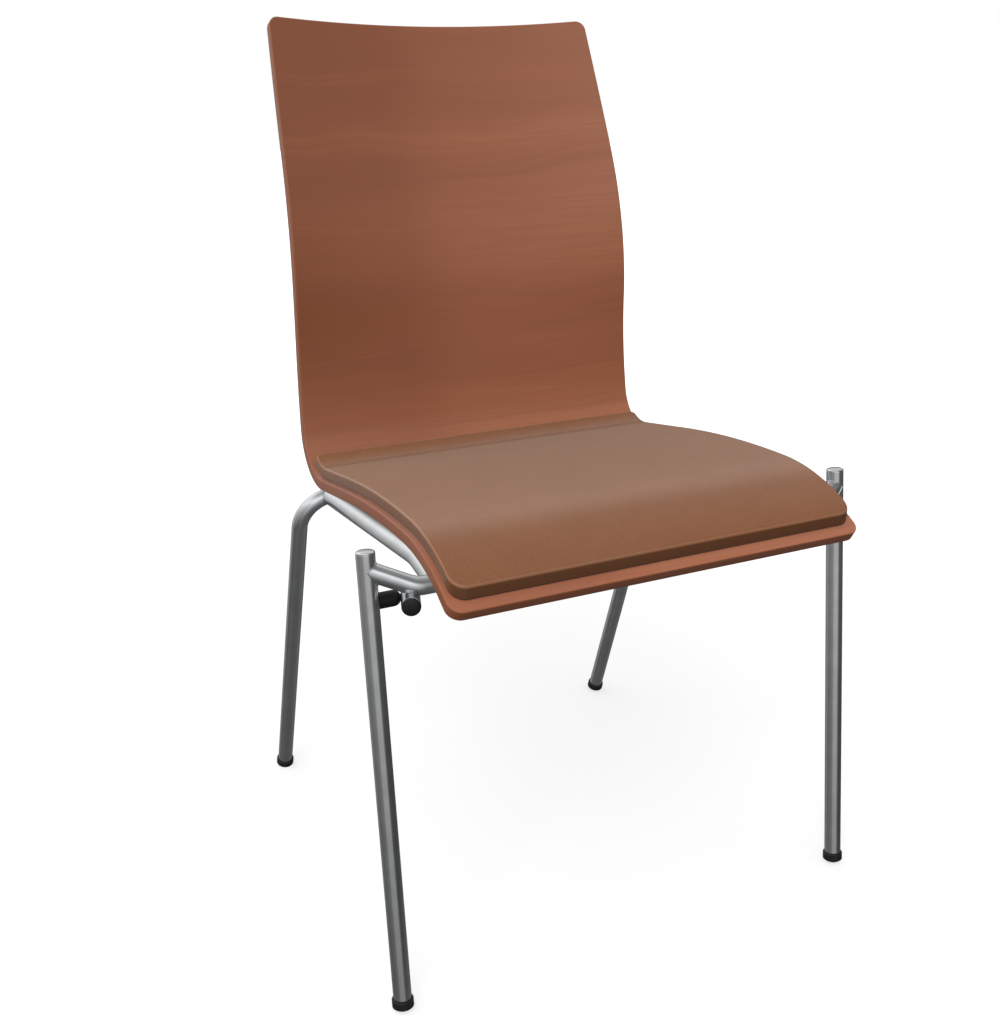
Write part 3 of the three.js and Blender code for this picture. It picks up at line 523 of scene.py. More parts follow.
# Painted sheen: the top between the front slope and the rise at the rear stays paler, and the rest
# of the pad is darkened toward the valley tone, where no bright reflection falls.
top = recipe.span(height, *TOP_FADE)
painted_sheen = recipe.maths("MULTIPLY", top, recipe.band(along, SEAT_FADE, REAR_FADE))
tone = recipe.blend(recipe.span(painted_sheen, 0.0, 1.0, 0.22, 0.0), tone, LEATHER_VALLEY_AND_SHADE)
# Painted shade: down the front face, which the light from above hardly reaches, the colour is
# darker.
front = recipe.span(along, *FRONT_SHADE_REACH, 1.0, 0.0)
below = recipe.span(height, *FRONT_SHADE_HEIGHT, 1.0, 0.0)
tone = recipe.blend(recipe.maths("MULTIPLY", front, below), tone, LEATHER_PAINTED_SHADE)
# A painted highlight runs along its upper rim.
rim = recipe.band(height, RIM_HIGHLIGHT_START, RIM_HIGHLIGHT_END, 0.6)
tone = recipe.blend(rim, tone, LEATHER_PAINTED_HIGHLIGHT)
recipe.feed(shader["Base Color"], tone)

# %% Gloss and relief of the leather
marks = use_group(recipe, handling, Vector=place, Roughness=0.34, Patches=0.04, Hairlines=0.02)
recipe.feed(shader["Roughness"], marks["Roughness"])
crumple = recipe.noise(place, 70.0, 3.0, 0.5)
relief = recipe.maths("ADD", cells["Height"], recipe.maths("MULTIPLY", crumple, 0.8))
recipe.feed(shader["Normal"], recipe.bump(relief, 0.08 * MM))
# The painted sheen zone also gets a higher specular level and more sheen.
recipe.feed(shader["Specular IOR Level"], recipe.span(painted_sheen, 0.0, 1.0, 0.42, 1.0, smooth=False))
recipe.feed(shader["Sheen Weight"], recipe.span(painted_sheen, 0.0, 1.0, 0.05, 0.22, smooth=False))
shader["Sheen Roughness"].default_value = 0.35
shader["Sheen Tint"].default_value = (1.0, 0.72, 0.52, 1)
print("finishes", len(bpy.data.materials))

# %% [markdown]
# ## Making and placing pieces
# Each piece is shaped in a bmesh and then handed over: it gets its finish, rides on the chair's
# one body and takes the place of the CAD solids that it stands for.

# %% Helpers for pieces
CREASE = math.radians(38)
MERGE, FINE_MERGE = 1e-6, 1e-8


def place_piece(mesh, name, finish, stands_for=(), merge=MERGE):
    """Turns a bmesh into a piece with normals outwards and sharp edges marked."""
    bmesh.ops.remove_doubles(mesh, verts=mesh.verts[:], dist=merge)
    bmesh.ops.recalc_face_normals(mesh, faces=mesh.faces[:])
    for face in mesh.faces:
        face.smooth = True
    for edge in mesh.edges:
        edge.smooth = edge.calc_face_angle(0) < CREASE
    data = bpy.data.meshes.new(name)
    mesh.to_mesh(data)
    mesh.free()
    data.materials.append(finish)
    piece = bpy.data.objects.new(name, data)
    scene.collection.objects.link(piece)
    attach(piece, "root")
    if stands_for:
        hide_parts(*stands_for)
    return piece


def spin_round(mesh, steps):
    """Spins a section once round the Z axis."""
    bmesh.ops.spin(
        mesh, geom=mesh.edges[:], cent=(0, 0, 0), axis=(0, 0, 1), angle=2 * math.pi,
        steps=steps, use_merge=True, use_duplicate=False,
    )


def standing(place, upwards):
    """A matrix that stands local Z along a direction at a place."""
    up = Vector(upwards).normalized()
    turn = Vector((0, 0, 1)).rotation_difference(up).to_matrix()
    return Matrix.Translation(place) @ turn.to_4x4()


# %% [markdown]
# ## Bent tubes
# A tube bender draws straights and bends in turn, and so does this helper. A circle is extruded
# along each straight and spun round each bend's axis. Solidify then gives the skin its wall, so
# the ends are true rings.

# %% A bent tube
TUBE = 18 * MM
WALL = 1.5 * MM
TUBE_SIDES = 40
BEND_STEP = math.radians(4)
RIM_BAND = 1 * MM  # a ring this far from each rim keeps the long skin's shading even
RIM = 0.3 * MM
SHARP_RIM = math.radians(60)


def bent_tube(corners, bend_radius=0.0, rim=RIM):
    """A hollow tube through some corners, bent at all but the first and the last."""
    mesh = bmesh.new()
    corners = [Vector(corner) for corner in corners]
    here, along = corners[0], (corners[1] - corners[0]).normalized()
    bmesh.ops.create_circle(
        mesh, segments=TUBE_SIDES, radius=TUBE / 2, matrix=standing(here, along)
    )
    ring = mesh.edges[:]

    def pull(ring, travel):
        grown = bmesh.ops.extrude_edge_only(mesh, edges=ring)["geom"]
        verts = [item for item in grown if isinstance(item, bmesh.types.BMVert)]
        bmesh.ops.translate(mesh, verts=verts, vec=travel)
        return [item for item in grown if isinstance(item, bmesh.types.BMEdge)
                and all(end in verts for end in item.verts)]

    if rim:
        here = here + along * RIM_BAND
        ring = pull(ring, along * RIM_BAND)
    for corner, after in zip(corners[1:-1], corners[2:]):
        onward = (after - corner).normalized()
        turn = along.angle(onward)
        setback = bend_radius * math.tan(turn / 2)
        start = corner - along * setback
        ring = pull(ring, start - here)
        axis = along.cross(onward).normalized()
        spun = bmesh.ops.spin(
            mesh, geom=ring, cent=start + axis.cross(along) * bend_radius, axis=axis,
            angle=turn, steps=max(2, math.ceil(turn / BEND_STEP)), use_duplicate=False,
        )
        ring = [item for item in spun["geom_last"] if isinstance(item, bmesh.types.BMEdge)]
        here, along = corner + onward * setback, onward
    if rim:
        ring = pull(ring, corners[-1] - along * RIM_BAND - here)
        here = corners[-1] - along * RIM_BAND
    pull(ring, corners[-1] - here)
    bmesh.ops.recalc_face_normals(mesh, faces=mesh.faces[:])
    bmesh.ops.solidify(mesh, geom=mesh.faces[:], thickness=WALL)
    if rim:
        rims = [edge for edge in mesh.edges if edge.calc_face_angle(0) > SHARP_RIM]
        bmesh.ops.bevel(
            mesh, geom=rims, offset=rim, segments=2, profile=0.5, affect="EDGES", material=-1
        )
    return mesh


# %% [markdown]
# ## The frame's lines
# The sizes repeat those of the CAD model. The cross tube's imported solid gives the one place
# that the sizes don't: how far forward of the origin the tube lies.

# %% Sizes of the frame
SUPPORT_DEPTH = 303.534 * MM
CROSS_HEIGHT = 422.1 * MM
CROSS_RISE = 17.5 * MM
CROSS_ADVANCE = 15.2 * MM
CROSS_BEND_INSET = 40.8 * MM
CROSS_BEND = 28 * MM
FRONT_HALF = 533 * MM / 2
REAR_HALF = 470.4 * MM / 2
LEG_TOP_RISE = 16 * MM
CROSSBAR_HEIGHT = CROSS_HEIGHT - 10.7 * MM
REAR_BEND = 39.5 * MM
RAIL_REAR_HALF = 407.4 * MM / 2
RAIL_KNEE_HALF = 399.4 * MM / 2
RAIL_KNEE_BEHIND = 62 * MM
RAIL_KNEE_HEIGHT = 424 * MM
RAIL_KNEE_RADIUS = 90 * MM
RAIL_JOINT_INSET = 18.7 * MM
GLIDE_HEIGHT = 12 * MM
SEAM = 0.3 * MM

front_slope = math.tan(math.radians(7.21))
rear_slope = math.tan(math.radians(18.9))
cross_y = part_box("front_cross_tube")[0].y + TUBE / 2
crossbar_y = cross_y + SUPPORT_DEPTH
joint_height = CROSS_HEIGHT + CROSS_RISE
front_up = Vector((0, front_slope, 1)).normalized()
rear_up = Vector((0, -rear_slope, 1)).normalized()


def front_leg(side, height):
    depth = cross_y + CROSS_ADVANCE + (height - joint_height) * front_slope
    return Vector((side * FRONT_HALF, depth, height))


def rear_leg(side, height, half=REAR_HALF):
    return Vector((side * half, crossbar_y - (height - CROSSBAR_HEIGHT) * rear_slope, height))


def cross_corner(side):
    return Vector((side * (FRONT_HALF - CROSS_BEND_INSET), cross_y, CROSS_HEIGHT))


def rail_corners(side):
    into_bend = RAIL_REAR_HALF - (REAR_HALF - REAR_BEND)
    fall = REAR_BEND * (1 - math.cos(math.asin(into_bend / REAR_BEND)))
    rear = rear_leg(side, CROSSBAR_HEIGHT - fall * rear_up.z, RAIL_REAR_HALF)
    knee = Vector((side * RAIL_KNEE_HALF, cross_y + RAIL_KNEE_BEHIND, RAIL_KNEE_HEIGHT))
    front = cross_corner(side) - Vector((side * RAIL_JOINT_INSET, 0, 0))
    return [rear, knee, front]


leg_tops = {name: front_leg(side, joint_height + LEG_TOP_RISE) for name, side in SIDES.items()}
print("cross tube axis at y", round(cross_y, 5), "crossbar at y", round(crossbar_y, 5))

# %% [markdown]
# ## Legs, cross tube and rails
# The rear legs and the bar between them are one bent tube. The cross tube ends on the front
# legs, and each rail on the cross tube and on a bend of the rear tube, all cut to a saddle
# before they are welded. A boolean could cut the saddles, but it leaves ragged faces. Here each
# end's points are moved along the tube on to the other tube's skin, so its rings stay whole.

# %% Rear legs
rear_line = [rear_leg(-1, 0) + rear_up * (GLIDE_HEIGHT + SEAM), rear_leg(-1, CROSSBAR_HEIGHT)]
rear_line += [rear_leg(1, CROSSBAR_HEIGHT), rear_leg(1, 0) + rear_up * (GLIDE_HEIGHT + SEAM)]
place_piece(
    bent_tube(rear_line, REAR_BEND), "rear_leg_tube", chrome, ["rear_leg_frame"]
)
print("rear tube bent at", round(rear_line[1].z, 4), "m")


# %% Saddles
def skin_distance(point, along, other_point, other_axis):
    """How far along a direction a line through a point first meets another tube's skin."""
    radius = TUBE / 2
    far_back = 4 * radius
    gap = point - along * far_back - other_point
    gap -= other_axis * gap.dot(other_axis)
    step = along - other_axis * along.dot(other_axis)
    a, b, c = step.dot(step), gap.dot(step), gap.dot(gap) - radius**2
    return (-b - math.sqrt(max(0.0, b * b - a * c))) / a - far_back


def bend_tangent(side, point):
    """The direction of the rear frame where a rail meets its bend."""
    centre = rear_leg(side, CROSSBAR_HEIGHT - REAR_BEND * rear_up.z, REAR_HALF - REAR_BEND)
    return (point - centre).cross(Vector((0, 1, rear_slope))).normalized()


def coped(mesh, end, along, other_point, other_axis):
    """Shapes a tube's end to the tube that it meets, and sinks it half a wall into that tube."""
    along, other_axis = along.normalized(), other_axis.normalized()
    for vert in mesh.verts:
        if abs((vert.co - end).dot(along)) < SEAM:
            vert.co += along * (skin_distance(vert.co, along, other_point, other_axis) + WALL / 2)


# %% Cross tube, front legs and rails
cross_line = [front_leg(-1, joint_height), cross_corner(-1), cross_corner(1)]
cross_line += [front_leg(1, joint_height)]
cross_tube = bent_tube(cross_line, CROSS_BEND, rim=0)
for end, before in ((cross_line[0], cross_line[1]), (cross_line[3], cross_line[2])):
    coped(cross_tube, end, end - before, end, front_up)
place_piece(cross_tube, "cross_tube", chrome, ["front_cross_tube"])
for name, side in SIDES.items():
    foot = front_leg(side, 0) + front_up * (GLIDE_HEIGHT + SEAM)
    place_piece(
        bent_tube([foot, leg_tops[name]]), f"front_leg_tube_{name}", chrome,
        [f"front_leg_{name}"],
    )
    rear, knee, front = rail_corners(side)
    rail = bent_tube([rear, knee, front], RAIL_KNEE_RADIUS, rim=0)
    coped(rail, front, front - knee, front, Vector((1, 0, 0)))
    coped(rail, rear, rear - knee, rear, bend_tangent(side, rear))
    place_piece(rail, f"seat_rail_{name}", chrome, [f"side_rail_{name}"])
print("rail", round((knee - rear).length + (front - knee).length, 4), "m long between its axes")

# %% [markdown]
# ## Welds
# A fillet of weld runs round each joint of two tubes, smoothed over by the plating. It is a thin
# ring spun round the joining tube, then pushed along that tube until it lies on the other one,
# which gives it the saddle shape of a real joint. A bevel on a joined mesh could do the same,
# but it would need the two tubes fused.

# %% Weld fillets
WELD_SIZE = 1.6 * MM
WELD_SIDES = 10
WELD_STEPS = 96


def weld(name, end, along, other_axis):
    """A fillet where a tube that ends on another tube's axis meets that tube's skin."""
    mesh = bmesh.new()
    radius = TUBE / 2
    along, other_axis = along.normalized(), other_axis.normalized()
    bmesh.ops.create_circle(
        mesh, segments=WELD_SIDES, radius=WELD_SIZE / 2,
        matrix=Matrix.Translation((radius, 0, 0)) @ Matrix.Rotation(math.pi / 2, 4, "X"),
    )
    spin_round(mesh, WELD_STEPS)
    bmesh.ops.transform(mesh, matrix=standing(end, along), verts=mesh.verts[:])
    for vert in mesh.verts:
        offset = vert.co - end
        spoke = offset - along * offset.dot(along)
        spoke *= radius / spoke.length
        vert.co += along * skin_distance(end + spoke, along, end, other_axis)
    place_piece(mesh, name, weld_steel)


for name, side in SIDES.items():
    joint = front_leg(side, joint_height)
    weld(f"weld_cross_tube_{name}", joint, joint - cross_corner(side), front_up)
    rear, knee, front = rail_corners(side)
    weld(f"weld_rail_front_{name}", front, front - knee, Vector((1, 0, 0)))
    weld(f"weld_rail_rear_{name}", rear, rear - knee, bend_tangent(side, rear))

# %% [markdown]
# ## Turned pieces
# Caps, glides, plugs and pegs are all round, so each is half a section spun once round its
# axis. Cylinders and spheres could be joined instead, but one spun section has no inner faces.
# The glides' sharp corners are rolled over by a small bevel.

# %% A turned piece
ROUND_STEPS = 48
DOME_STEPS = 10
SHARP_CORNER = math.radians(50)


def turned(profile, place, corner=0.0):
    """Spins a section, given as (radius, height) points from the axis and back to it."""
    mesh = bmesh.new()
    verts = [mesh.verts.new((radius, 0, height)) for radius, height in profile]
    for a, b in zip(verts, verts[1:]):
        mesh.edges.new((a, b))
    spin_round(mesh, ROUND_STEPS)
    bmesh.ops.remove_doubles(mesh, verts=mesh.verts[:], dist=1e-7)
    bmesh.ops.recalc_face_normals(mesh, faces=mesh.faces[:])
    if corner:
        sharp = [edge for edge in mesh.edges if edge.calc_face_angle(0) > SHARP_CORNER]
        bmesh.ops.bevel(
            mesh, geom=sharp, offset=corner, segments=3, profile=0.5, affect="EDGES",
            material=-1, clamp_overlap=True,
        )
    bmesh.ops.transform(mesh, matrix=place, verts=mesh.verts[:])
    return mesh


def dome(radius, rise):
    """Section points of a shallow dome, from its rim to its top."""
    shares = [step / DOME_STEPS for step in range(DOME_STEPS + 1)]
    return [
        (radius * math.cos(share * math.pi / 2), rise * math.sin(share * math.pi / 2))
        for share in shares
    ]


# %% [markdown]
# ## Caps and glides
# A shallow satin cap closes each front leg. A black plastic glide is pushed up each leg's foot.
# Its dome stands square to the leg, so the leg's lean would rock it on an edge, and the floor
# side is worn flat.

# %% Leg caps
STEM = TUBE - 2 * WALL - 2 * SEAM
PLUG_STEM = 16 * MM
CAP_HEIGHT = 2.8 * MM
CAP_UNDERCUT = 0.2 * MM
CAP_LIP = 0.25 * MM
for name, side in SIDES.items():
    section = [(0, -PLUG_STEM), (STEM / 2, -PLUG_STEM), (STEM / 2, 0)]
    section += [(TUBE / 2 - CAP_UNDERCUT, 0), (TUBE / 2, CAP_LIP)]
    section += [(r, CAP_LIP + z) for r, z in dome(TUBE / 2, CAP_HEIGHT - CAP_LIP)[1:]]
    section[-1] = (0, CAP_HEIGHT)
    place = standing(leg_tops[name] + front_up * SEAM, front_up)
    place_piece(turned(section, place), f"cap_{name}", satin_cap, [f"leg_cap_{name}"])
print("caps at", round(leg_tops["left"].z, 4), "m")

# %% Glides
GLIDE = 21.4 * MM
GLIDE_DOME = 15 * MM
GLIDE_WEAR = 1 * MM
GLIDE_CORNER = 0.5 * MM
GLIDE_STEPS = 12


def glide(foot, up):
    centre = (GLIDE_DOME - GLIDE_WEAR) / up.z
    rim_angle = math.asin(GLIDE / 2 / GLIDE_DOME)
    section = []
    for step in range(GLIDE_STEPS + 1):
        angle = rim_angle * step / GLIDE_STEPS
        section.append((GLIDE_DOME * math.sin(angle), centre - GLIDE_DOME * math.cos(angle)))
    shoulder = (GLIDE - TUBE) / 3
    section += [(GLIDE / 2, GLIDE_HEIGHT - shoulder), (GLIDE / 2 - shoulder, GLIDE_HEIGHT)]
    section += [(STEM / 2, GLIDE_HEIGHT), (STEM / 2, GLIDE_HEIGHT + PLUG_STEM)]
    section += [(0, GLIDE_HEIGHT + PLUG_STEM)]
    mesh = turned(section, Matrix.Identity(4), corner=GLIDE_CORNER)
    bmesh.ops.transform(mesh, matrix=standing(foot, up), verts=mesh.verts[:])
    bmesh.ops.bisect_plane(
        mesh, geom=mesh.verts[:] + mesh.edges[:] + mesh.faces[:], plane_co=(0, 0, 0),
        plane_no=(0, 0, -1), clear_outer=True,
    )
    cut = [edge for edge in mesh.edges if edge.is_boundary]
    bmesh.ops.edgenet_fill(mesh, edges=cut)
    return mesh


for name, side in SIDES.items():
    for end, leg, up in (("front", front_leg, front_up), ("rear", rear_leg, rear_up)):
        place_piece(
            glide(leg(side, 0), up), f"glide_{end}_{name}", black_plastic,
            [f"{end}_glide_{name}"],
        )
sole = 2 * math.sqrt(GLIDE_DOME**2 - (GLIDE_DOME - GLIDE_WEAR) ** 2)
print("glides worn flat over about", round(sole / MM, 1), "mm")

# %% [markdown]
# ## Stacking fittings
# Under each end of the cross tube a short stub points forward, closed by black plugs. Behind
# each front leg a black peg points inwards. Chairs of this kind rest on such fittings when they
# are stacked. The peg is hollowed where it sits against the leg: its points that would lie in
# the tube are pushed out to the tube's skin.

# %% Stubs and plugs
REST_LENGTH = 28 * MM
REST_OVERHANG = 14.5 * MM
REST_OUTSET = 5.5 * MM
REST_SEAT = 2.6 * MM
PLUG_DOME = 3 * MM
PLUG_INSET = 0.1 * MM
for name, side in SIDES.items():
    corner, joint = cross_corner(side), front_leg(side, joint_height)
    run = joint - corner
    middle = corner + run * (REST_OUTSET / run.length)
    middle.z -= TUBE - REST_SEAT
    level = Vector((run.x, run.y, 0)).normalized()
    forward = Vector((side * level.y, -side * level.x, 0))
    front = middle + forward * REST_OVERHANG
    back = front - forward * REST_LENGTH
    place_piece(
        bent_tube([back, front]), f"stacking_stub_{name}", chrome,
        [f"stacking_rest_{name}"],
    )
    for end, point, outward in (("front", front, forward), ("rear", back, -forward)):
        section = [(0, -REST_LENGTH / 4), (STEM / 2, -REST_LENGTH / 4), (STEM / 2, 0)]
        section += dome(TUBE / 2 - PLUG_INSET, PLUG_DOME)
        section[-1] = (0, PLUG_DOME)
        place_piece(
            turned(section, standing(point + outward * SEAM, outward)), f"stub_plug_{end}_{name}",
            black_plastic, [f"stacking_rest_{end}_plug_{name}"],
        )
print("stubs at", round(middle.z, 4), "m")

# %% Pegs
PEG = 15.4 * MM
PEG_HEIGHT = CROSS_HEIGHT - 18.1 * MM
PEG_SETBACK = 13 * MM
PEG_REACH = 35 * MM
PEG_OVERHANG = 2.2 * MM
PEG_CHAMFER = 0.8 * MM
PEG_STEPS = 24
for name, side in SIDES.items():
    on_leg = front_leg(side, PEG_HEIGHT)
    radius = PEG / 2
    section = [(0, -PEG_OVERHANG), (radius - PEG_CHAMFER, -PEG_OVERHANG)]
    section += [(radius, -PEG_OVERHANG + PEG_CHAMFER)]
    barrel = PEG_REACH - radius + PEG_OVERHANG - PEG_CHAMFER
    section += [
        (radius, -PEG_OVERHANG + PEG_CHAMFER + barrel * step / PEG_STEPS)
        for step in range(1, PEG_STEPS + 1)
    ]
    section += [(r, PEG_REACH - radius + z) for r, z in dome(radius, radius)[1:]]
    section[-1] = (0, PEG_REACH)
    peg = turned(section, standing(on_leg + Vector((0, PEG_SETBACK, 0)), (-side, 0, 0)))
    for vert in peg.verts:
        spoke = vert.co - on_leg
        spoke -= front_up * spoke.dot(front_up)
        if spoke.length < TUBE / 2 + SEAM:
            vert.co += spoke.normalized() * (TUBE / 2 + SEAM - spoke.length)
    place_piece(peg, f"peg_{name}", black_plastic, [f"stacking_peg_{name}"])
print("pegs at", round(PEG_HEIGHT, 4), "m")

# %% [markdown]
# ## The shell's side line
# Seen from the side, the shell is one line of straights and arcs: down over the front lip, along
# the seat, round the bend and up the back. A free curve could be drawn through points, but
# straights and arcs are what a mould is made of, and they give the slope anywhere. Everything
# that is pressed to the shell follows this line.

# %% Sizes of the shell
LIP_SLOPE = math.radians(29.7)
# Each piece of the line: its length, or its radius and the slope at its end, in millimetres
# and degrees
SEAT_SLOPE = -9.4
BEND_RADIUS = 62.6
SIDE_LINE = [
    (25, None), (174, 0), (1052, SEAT_SLOPE), (82.7, None), (BEND_RADIUS, 81.6),
    (4.7, None), (695, 90), (18, None), (448, 68.2), (155, None),
]
FRONT_HALF_WIDTH = 449.5 * MM / 2
REAR_HALF_WIDTH = 429.5 * MM / 2
WAIST_HALF_WIDTH = 422 * MM / 2
TOP_HALF_WIDTH = 392.5 * MM / 2
TAPER_POWER = 1.5
BOW = 23 * MM
BOW_FULL_SHARE = 0.62
LIP_REACH = 69.6 * MM
CLOSE = 1e-7

# %% The side line's runs
# Each run is (start, length, y, z, angle, bend), with bend the turn per metre.
runs = []
reach, y, z, angle = 0.0, 0.0, 0.0, LIP_SLOPE
for size, slope in SIDE_LINE:
    turn = 0.0 if slope is None else math.radians(slope) - angle
    length = size * MM if slope is None else size * MM * abs(turn)
    bend = turn / length
    runs.append((reach, length, y, z, angle, bend))
    if bend:
        y += (math.sin(angle + turn) - math.sin(angle)) / bend
        z -= (math.cos(angle + turn) - math.cos(angle)) / bend
    else:
        y += length * math.cos(angle)
        z += length * math.sin(angle)
    reach, angle = reach + length, angle + turn
LINE_LENGTH = reach
BEND_START, LUMBAR_START, BACK_START = runs[4][0], runs[5][0], runs[8][0]
starts = [round(start, 4) for start in (BEND_START, LUMBAR_START, BACK_START)]
print("bend, lumbar and back start at", starts)


# %% Reading the side line
def side_line(distance):
    """Depth, height and slope of the side line at a distance from the front lip."""
    start, _, y, z, angle, bend = next(
        (run for run in reversed(runs) if run[0] <= distance), runs[0]
    )
    along = distance - start
    turned_to = angle + bend * along
    if not bend:
        return y + along * math.cos(angle), z + along * math.sin(angle), angle
    y += (math.sin(turned_to) - math.sin(angle)) / bend
    return y, z - (math.cos(turned_to) - math.cos(angle)) / bend, turned_to


def distance_at(depth, below):
    """The distance at which a point held square below the line is at a given depth."""
    low, high = 0.0, LINE_LENGTH
    while high - low > CLOSE:
        middle = (low + high) / 2
        y, _, angle = side_line(middle)
        if y + below * math.sin(angle) < depth:
            low = middle
        else:
            high = middle
    return low


# %% The shell's place on the frame
shell_y = cross_y - LIP_REACH
rest = TUBE / 2 + SEAM
_, contact_z, contact_angle = side_line(distance_at(crossbar_y - shell_y, rest))
shell_z = CROSSBAR_HEIGHT + rest * math.cos(contact_angle) - contact_z
print("side line", round(LINE_LENGTH, 4), "m long, lip at", round(shell_y, 4), round(shell_z, 4))


# %% Points on the shell
def smooth_step(value, low, high):
    share = min(1.0, max(0.0, (value - low) / (high - low)))
    return share * share * (3 - 2 * share)


def mix(a, b, share):
    return a + (b - a) * share


def half_width(distance):
    if distance < BEND_START:
        return mix(FRONT_HALF_WIDTH, REAR_HALF_WIDTH, distance / BEND_START)
    if distance < BACK_START:
        share = smooth_step(distance, BEND_START, BACK_START)
        return mix(REAR_HALF_WIDTH, WAIST_HALF_WIDTH, share)
    share = min(1.0, (distance - BACK_START) / (LINE_LENGTH - BACK_START))
    return mix(WAIST_HALF_WIDTH, TOP_HALF_WIDTH, share**TAPER_POWER)


def shell_point(across, distance, offset):
    """A point by its place across, its distance along and its height over the underside."""
    y, z, angle = side_line(distance)
    full = mix(LUMBAR_START, LINE_LENGTH, BOW_FULL_SHARE)
    hollow = BOW * smooth_step(distance, LUMBAR_START, full)
    lift = offset - hollow * (1 - (across / half_width(distance)) ** 2)
    return Vector(
        (across, shell_y + y - lift * math.sin(angle), shell_z + z + lift * math.cos(angle))
    )


waist, top_edge = 2 * half_width(BACK_START), 2 * half_width(LINE_LENGTH)
print("waist", round(waist, 4), "m wide, top edge", round(top_edge, 4), "m")

# %% [markdown]
# ## Pressing a flat blank
# The maker glues a flat stack of veneers and presses it in a mould. This helper does the same.
# A grid is laid out flat, its corners are rounded, it is extruded to its thickness and its rim
# is rolled over. Every point keeps its place in the flat blank as the attribute "blank", which
# the wood and the leather read. Only then is each point moved on to the side line. A curve
# modifier would be less work, but it can't hollow the back or taper the sides along the line.

# %% Rows of a pressed sheet
LEAN_REACH = 80 * MM
BEND_ROWS = math.radians(3)  # the line turns by no more than this between two rows
CORNER_STEPS = 9
EDGE_SUPPORTS = (1.3, 1.9)  # rows beside a rounded edge, in shares of its radius
CROWDED = 0.05 * MM


def quarter(steps):
    """Shares of a rounding's radius that lie at even angles round it."""
    return [1 - math.cos(math.pi / 2 * step / steps) for step in range(steps + 1)]


def thinned(marks, least):
    """Sorted marks without those that crowd the one before. The first and the last stay."""
    kept = [marks[0]]
    for mark in marks[1:-1]:
        if mark - kept[-1] > least and marks[-1] - mark > least:
            kept.append(mark)
    return [*kept, marks[-1]]


# %% A pressed sheet
def pressed_sheet(
    start, end, inset, corners, low, high, low_edge, high_edge, crown=0.0, pull_in=0.0, lean=0.0,
    row_step=6 * MM, columns=44, edge_steps=5,
):
    """A flat sheet with rounded corners and edges, moved on to the side line."""
    front_corner, rear_corner = corners
    middle, reach = (start + end) / 2, (end - start) / 2

    def half(distance):
        drawn = pull_in * (1 - ((distance - middle) / reach) ** 2)
        return half_width(distance) - inset - drawn

    def corner(distance):
        return front_corner if distance < middle else rear_corner

    def corner_cut(distance):
        short = max(0.0, corner(distance) - min(distance - start, end - distance))
        return corner(distance) - math.sqrt(max(0.0, corner(distance) ** 2 - short**2))

    def to_edge(across, distance):
        radius = corner(distance)
        sideways = abs(across) - (half(distance) - radius)
        lengthways = abs(distance - middle) - (reach - radius)
        outside = math.hypot(max(sideways, 0), max(lengthways, 0))
        return max(0.0, radius - outside - min(max(sideways, lengthways), 0))

    def fall(radius, inwards):
        short = max(0.0, radius - inwards)
        return radius - math.sqrt(max(0.0, radius**2 - short**2))

    edge = max(low_edge, high_edge)
    rolled = [share * edge for share in (*quarter(edge_steps), *EDGE_SUPPORTS)]
    marks = [start + mark for mark in rolled]
    marks += [start + share * front_corner for share in quarter(CORNER_STEPS)]
    marks += [end - mark for mark in rolled]
    marks += [end - share * rear_corner for share in quarter(CORNER_STEPS)]
    for run_start, length, *_, bend in runs:
        steps = max(math.ceil(length / row_step), math.ceil(abs(bend) * length / BEND_ROWS))
        marks += [run_start + length * step / steps for step in range(steps)]
    rows = thinned(sorted(mark for mark in marks if start <= mark <= end), CROWDED)
    column_count = 2 * len(rolled) + columns

    mesh = bmesh.new()
    blank = mesh.verts.layers.float_vector.new("blank")
    bmesh.ops.create_grid(mesh, x_segments=column_count - 1, y_segments=len(rows) - 1, size=1)
    lower = mesh.verts[:]
    grown = bmesh.ops.extrude_face_region(mesh, geom=mesh.faces[:], use_keep_orig=True)
    upper = [item for item in grown["geom"] if isinstance(item, bmesh.types.BMVert)]
    for verts, is_upper in ((lower, False), (upper, True)):
        for vert in verts:
            column = round((vert.co.x + 1) / 2 * (column_count - 1))
            distance = rows[round((vert.co.y + 1) / 2 * (len(rows) - 1))]
            wide = half(distance) - corner_cut(distance)
            last = column_count - 1 - column
            if column < len(rolled):
                across = rolled[column] - wide
            elif last < len(rolled):
                across = wide - rolled[last]
            else:
                flat = wide - rolled[-1]
                across = flat * (2 * (column - len(rolled) + 1) / (columns + 1) - 1)
            inwards = to_edge(across, distance)
            if is_upper:
                rise = (1 - (across / wide) ** 2) * (1 - ((distance - middle) / reach) ** 2)
                offset = high + crown * rise - fall(high_edge, inwards)
            else:
                offset = low + fall(low_edge, inwards)
            vert[blank] = (across, distance, offset)
            back = (offset - low) * lean * (1 - smooth_step(distance, start, start + LEAN_REACH))
            vert.co = shell_point(across, distance + back, offset)
    return mesh


# %% [markdown]
# ## The plywood shell
# One sheet of beech layers makes both seat and back. The blank is 12 mm thick, with corners of
# 14 mm at the lip and 11 mm at the top. Modelled as a pressed blank, and not as a box that is
# pulled into shape, it keeps one thickness all the way round the bend.

# %% Plywood shell
SHELL_CORNERS = (14 * MM, 11 * MM)
SHELL_EDGE = 1.5 * MM
shell_mesh = pressed_sheet(
    0.0, LINE_LENGTH, 0.0, SHELL_CORNERS, 0.0, SHELL_THICKNESS, SHELL_EDGE, SHELL_EDGE
)
shell = place_piece(shell_mesh, "shell", plywood, ["plywood_shell"], FINE_MERGE)
print("shell", len(shell.data.polygons), "faces")

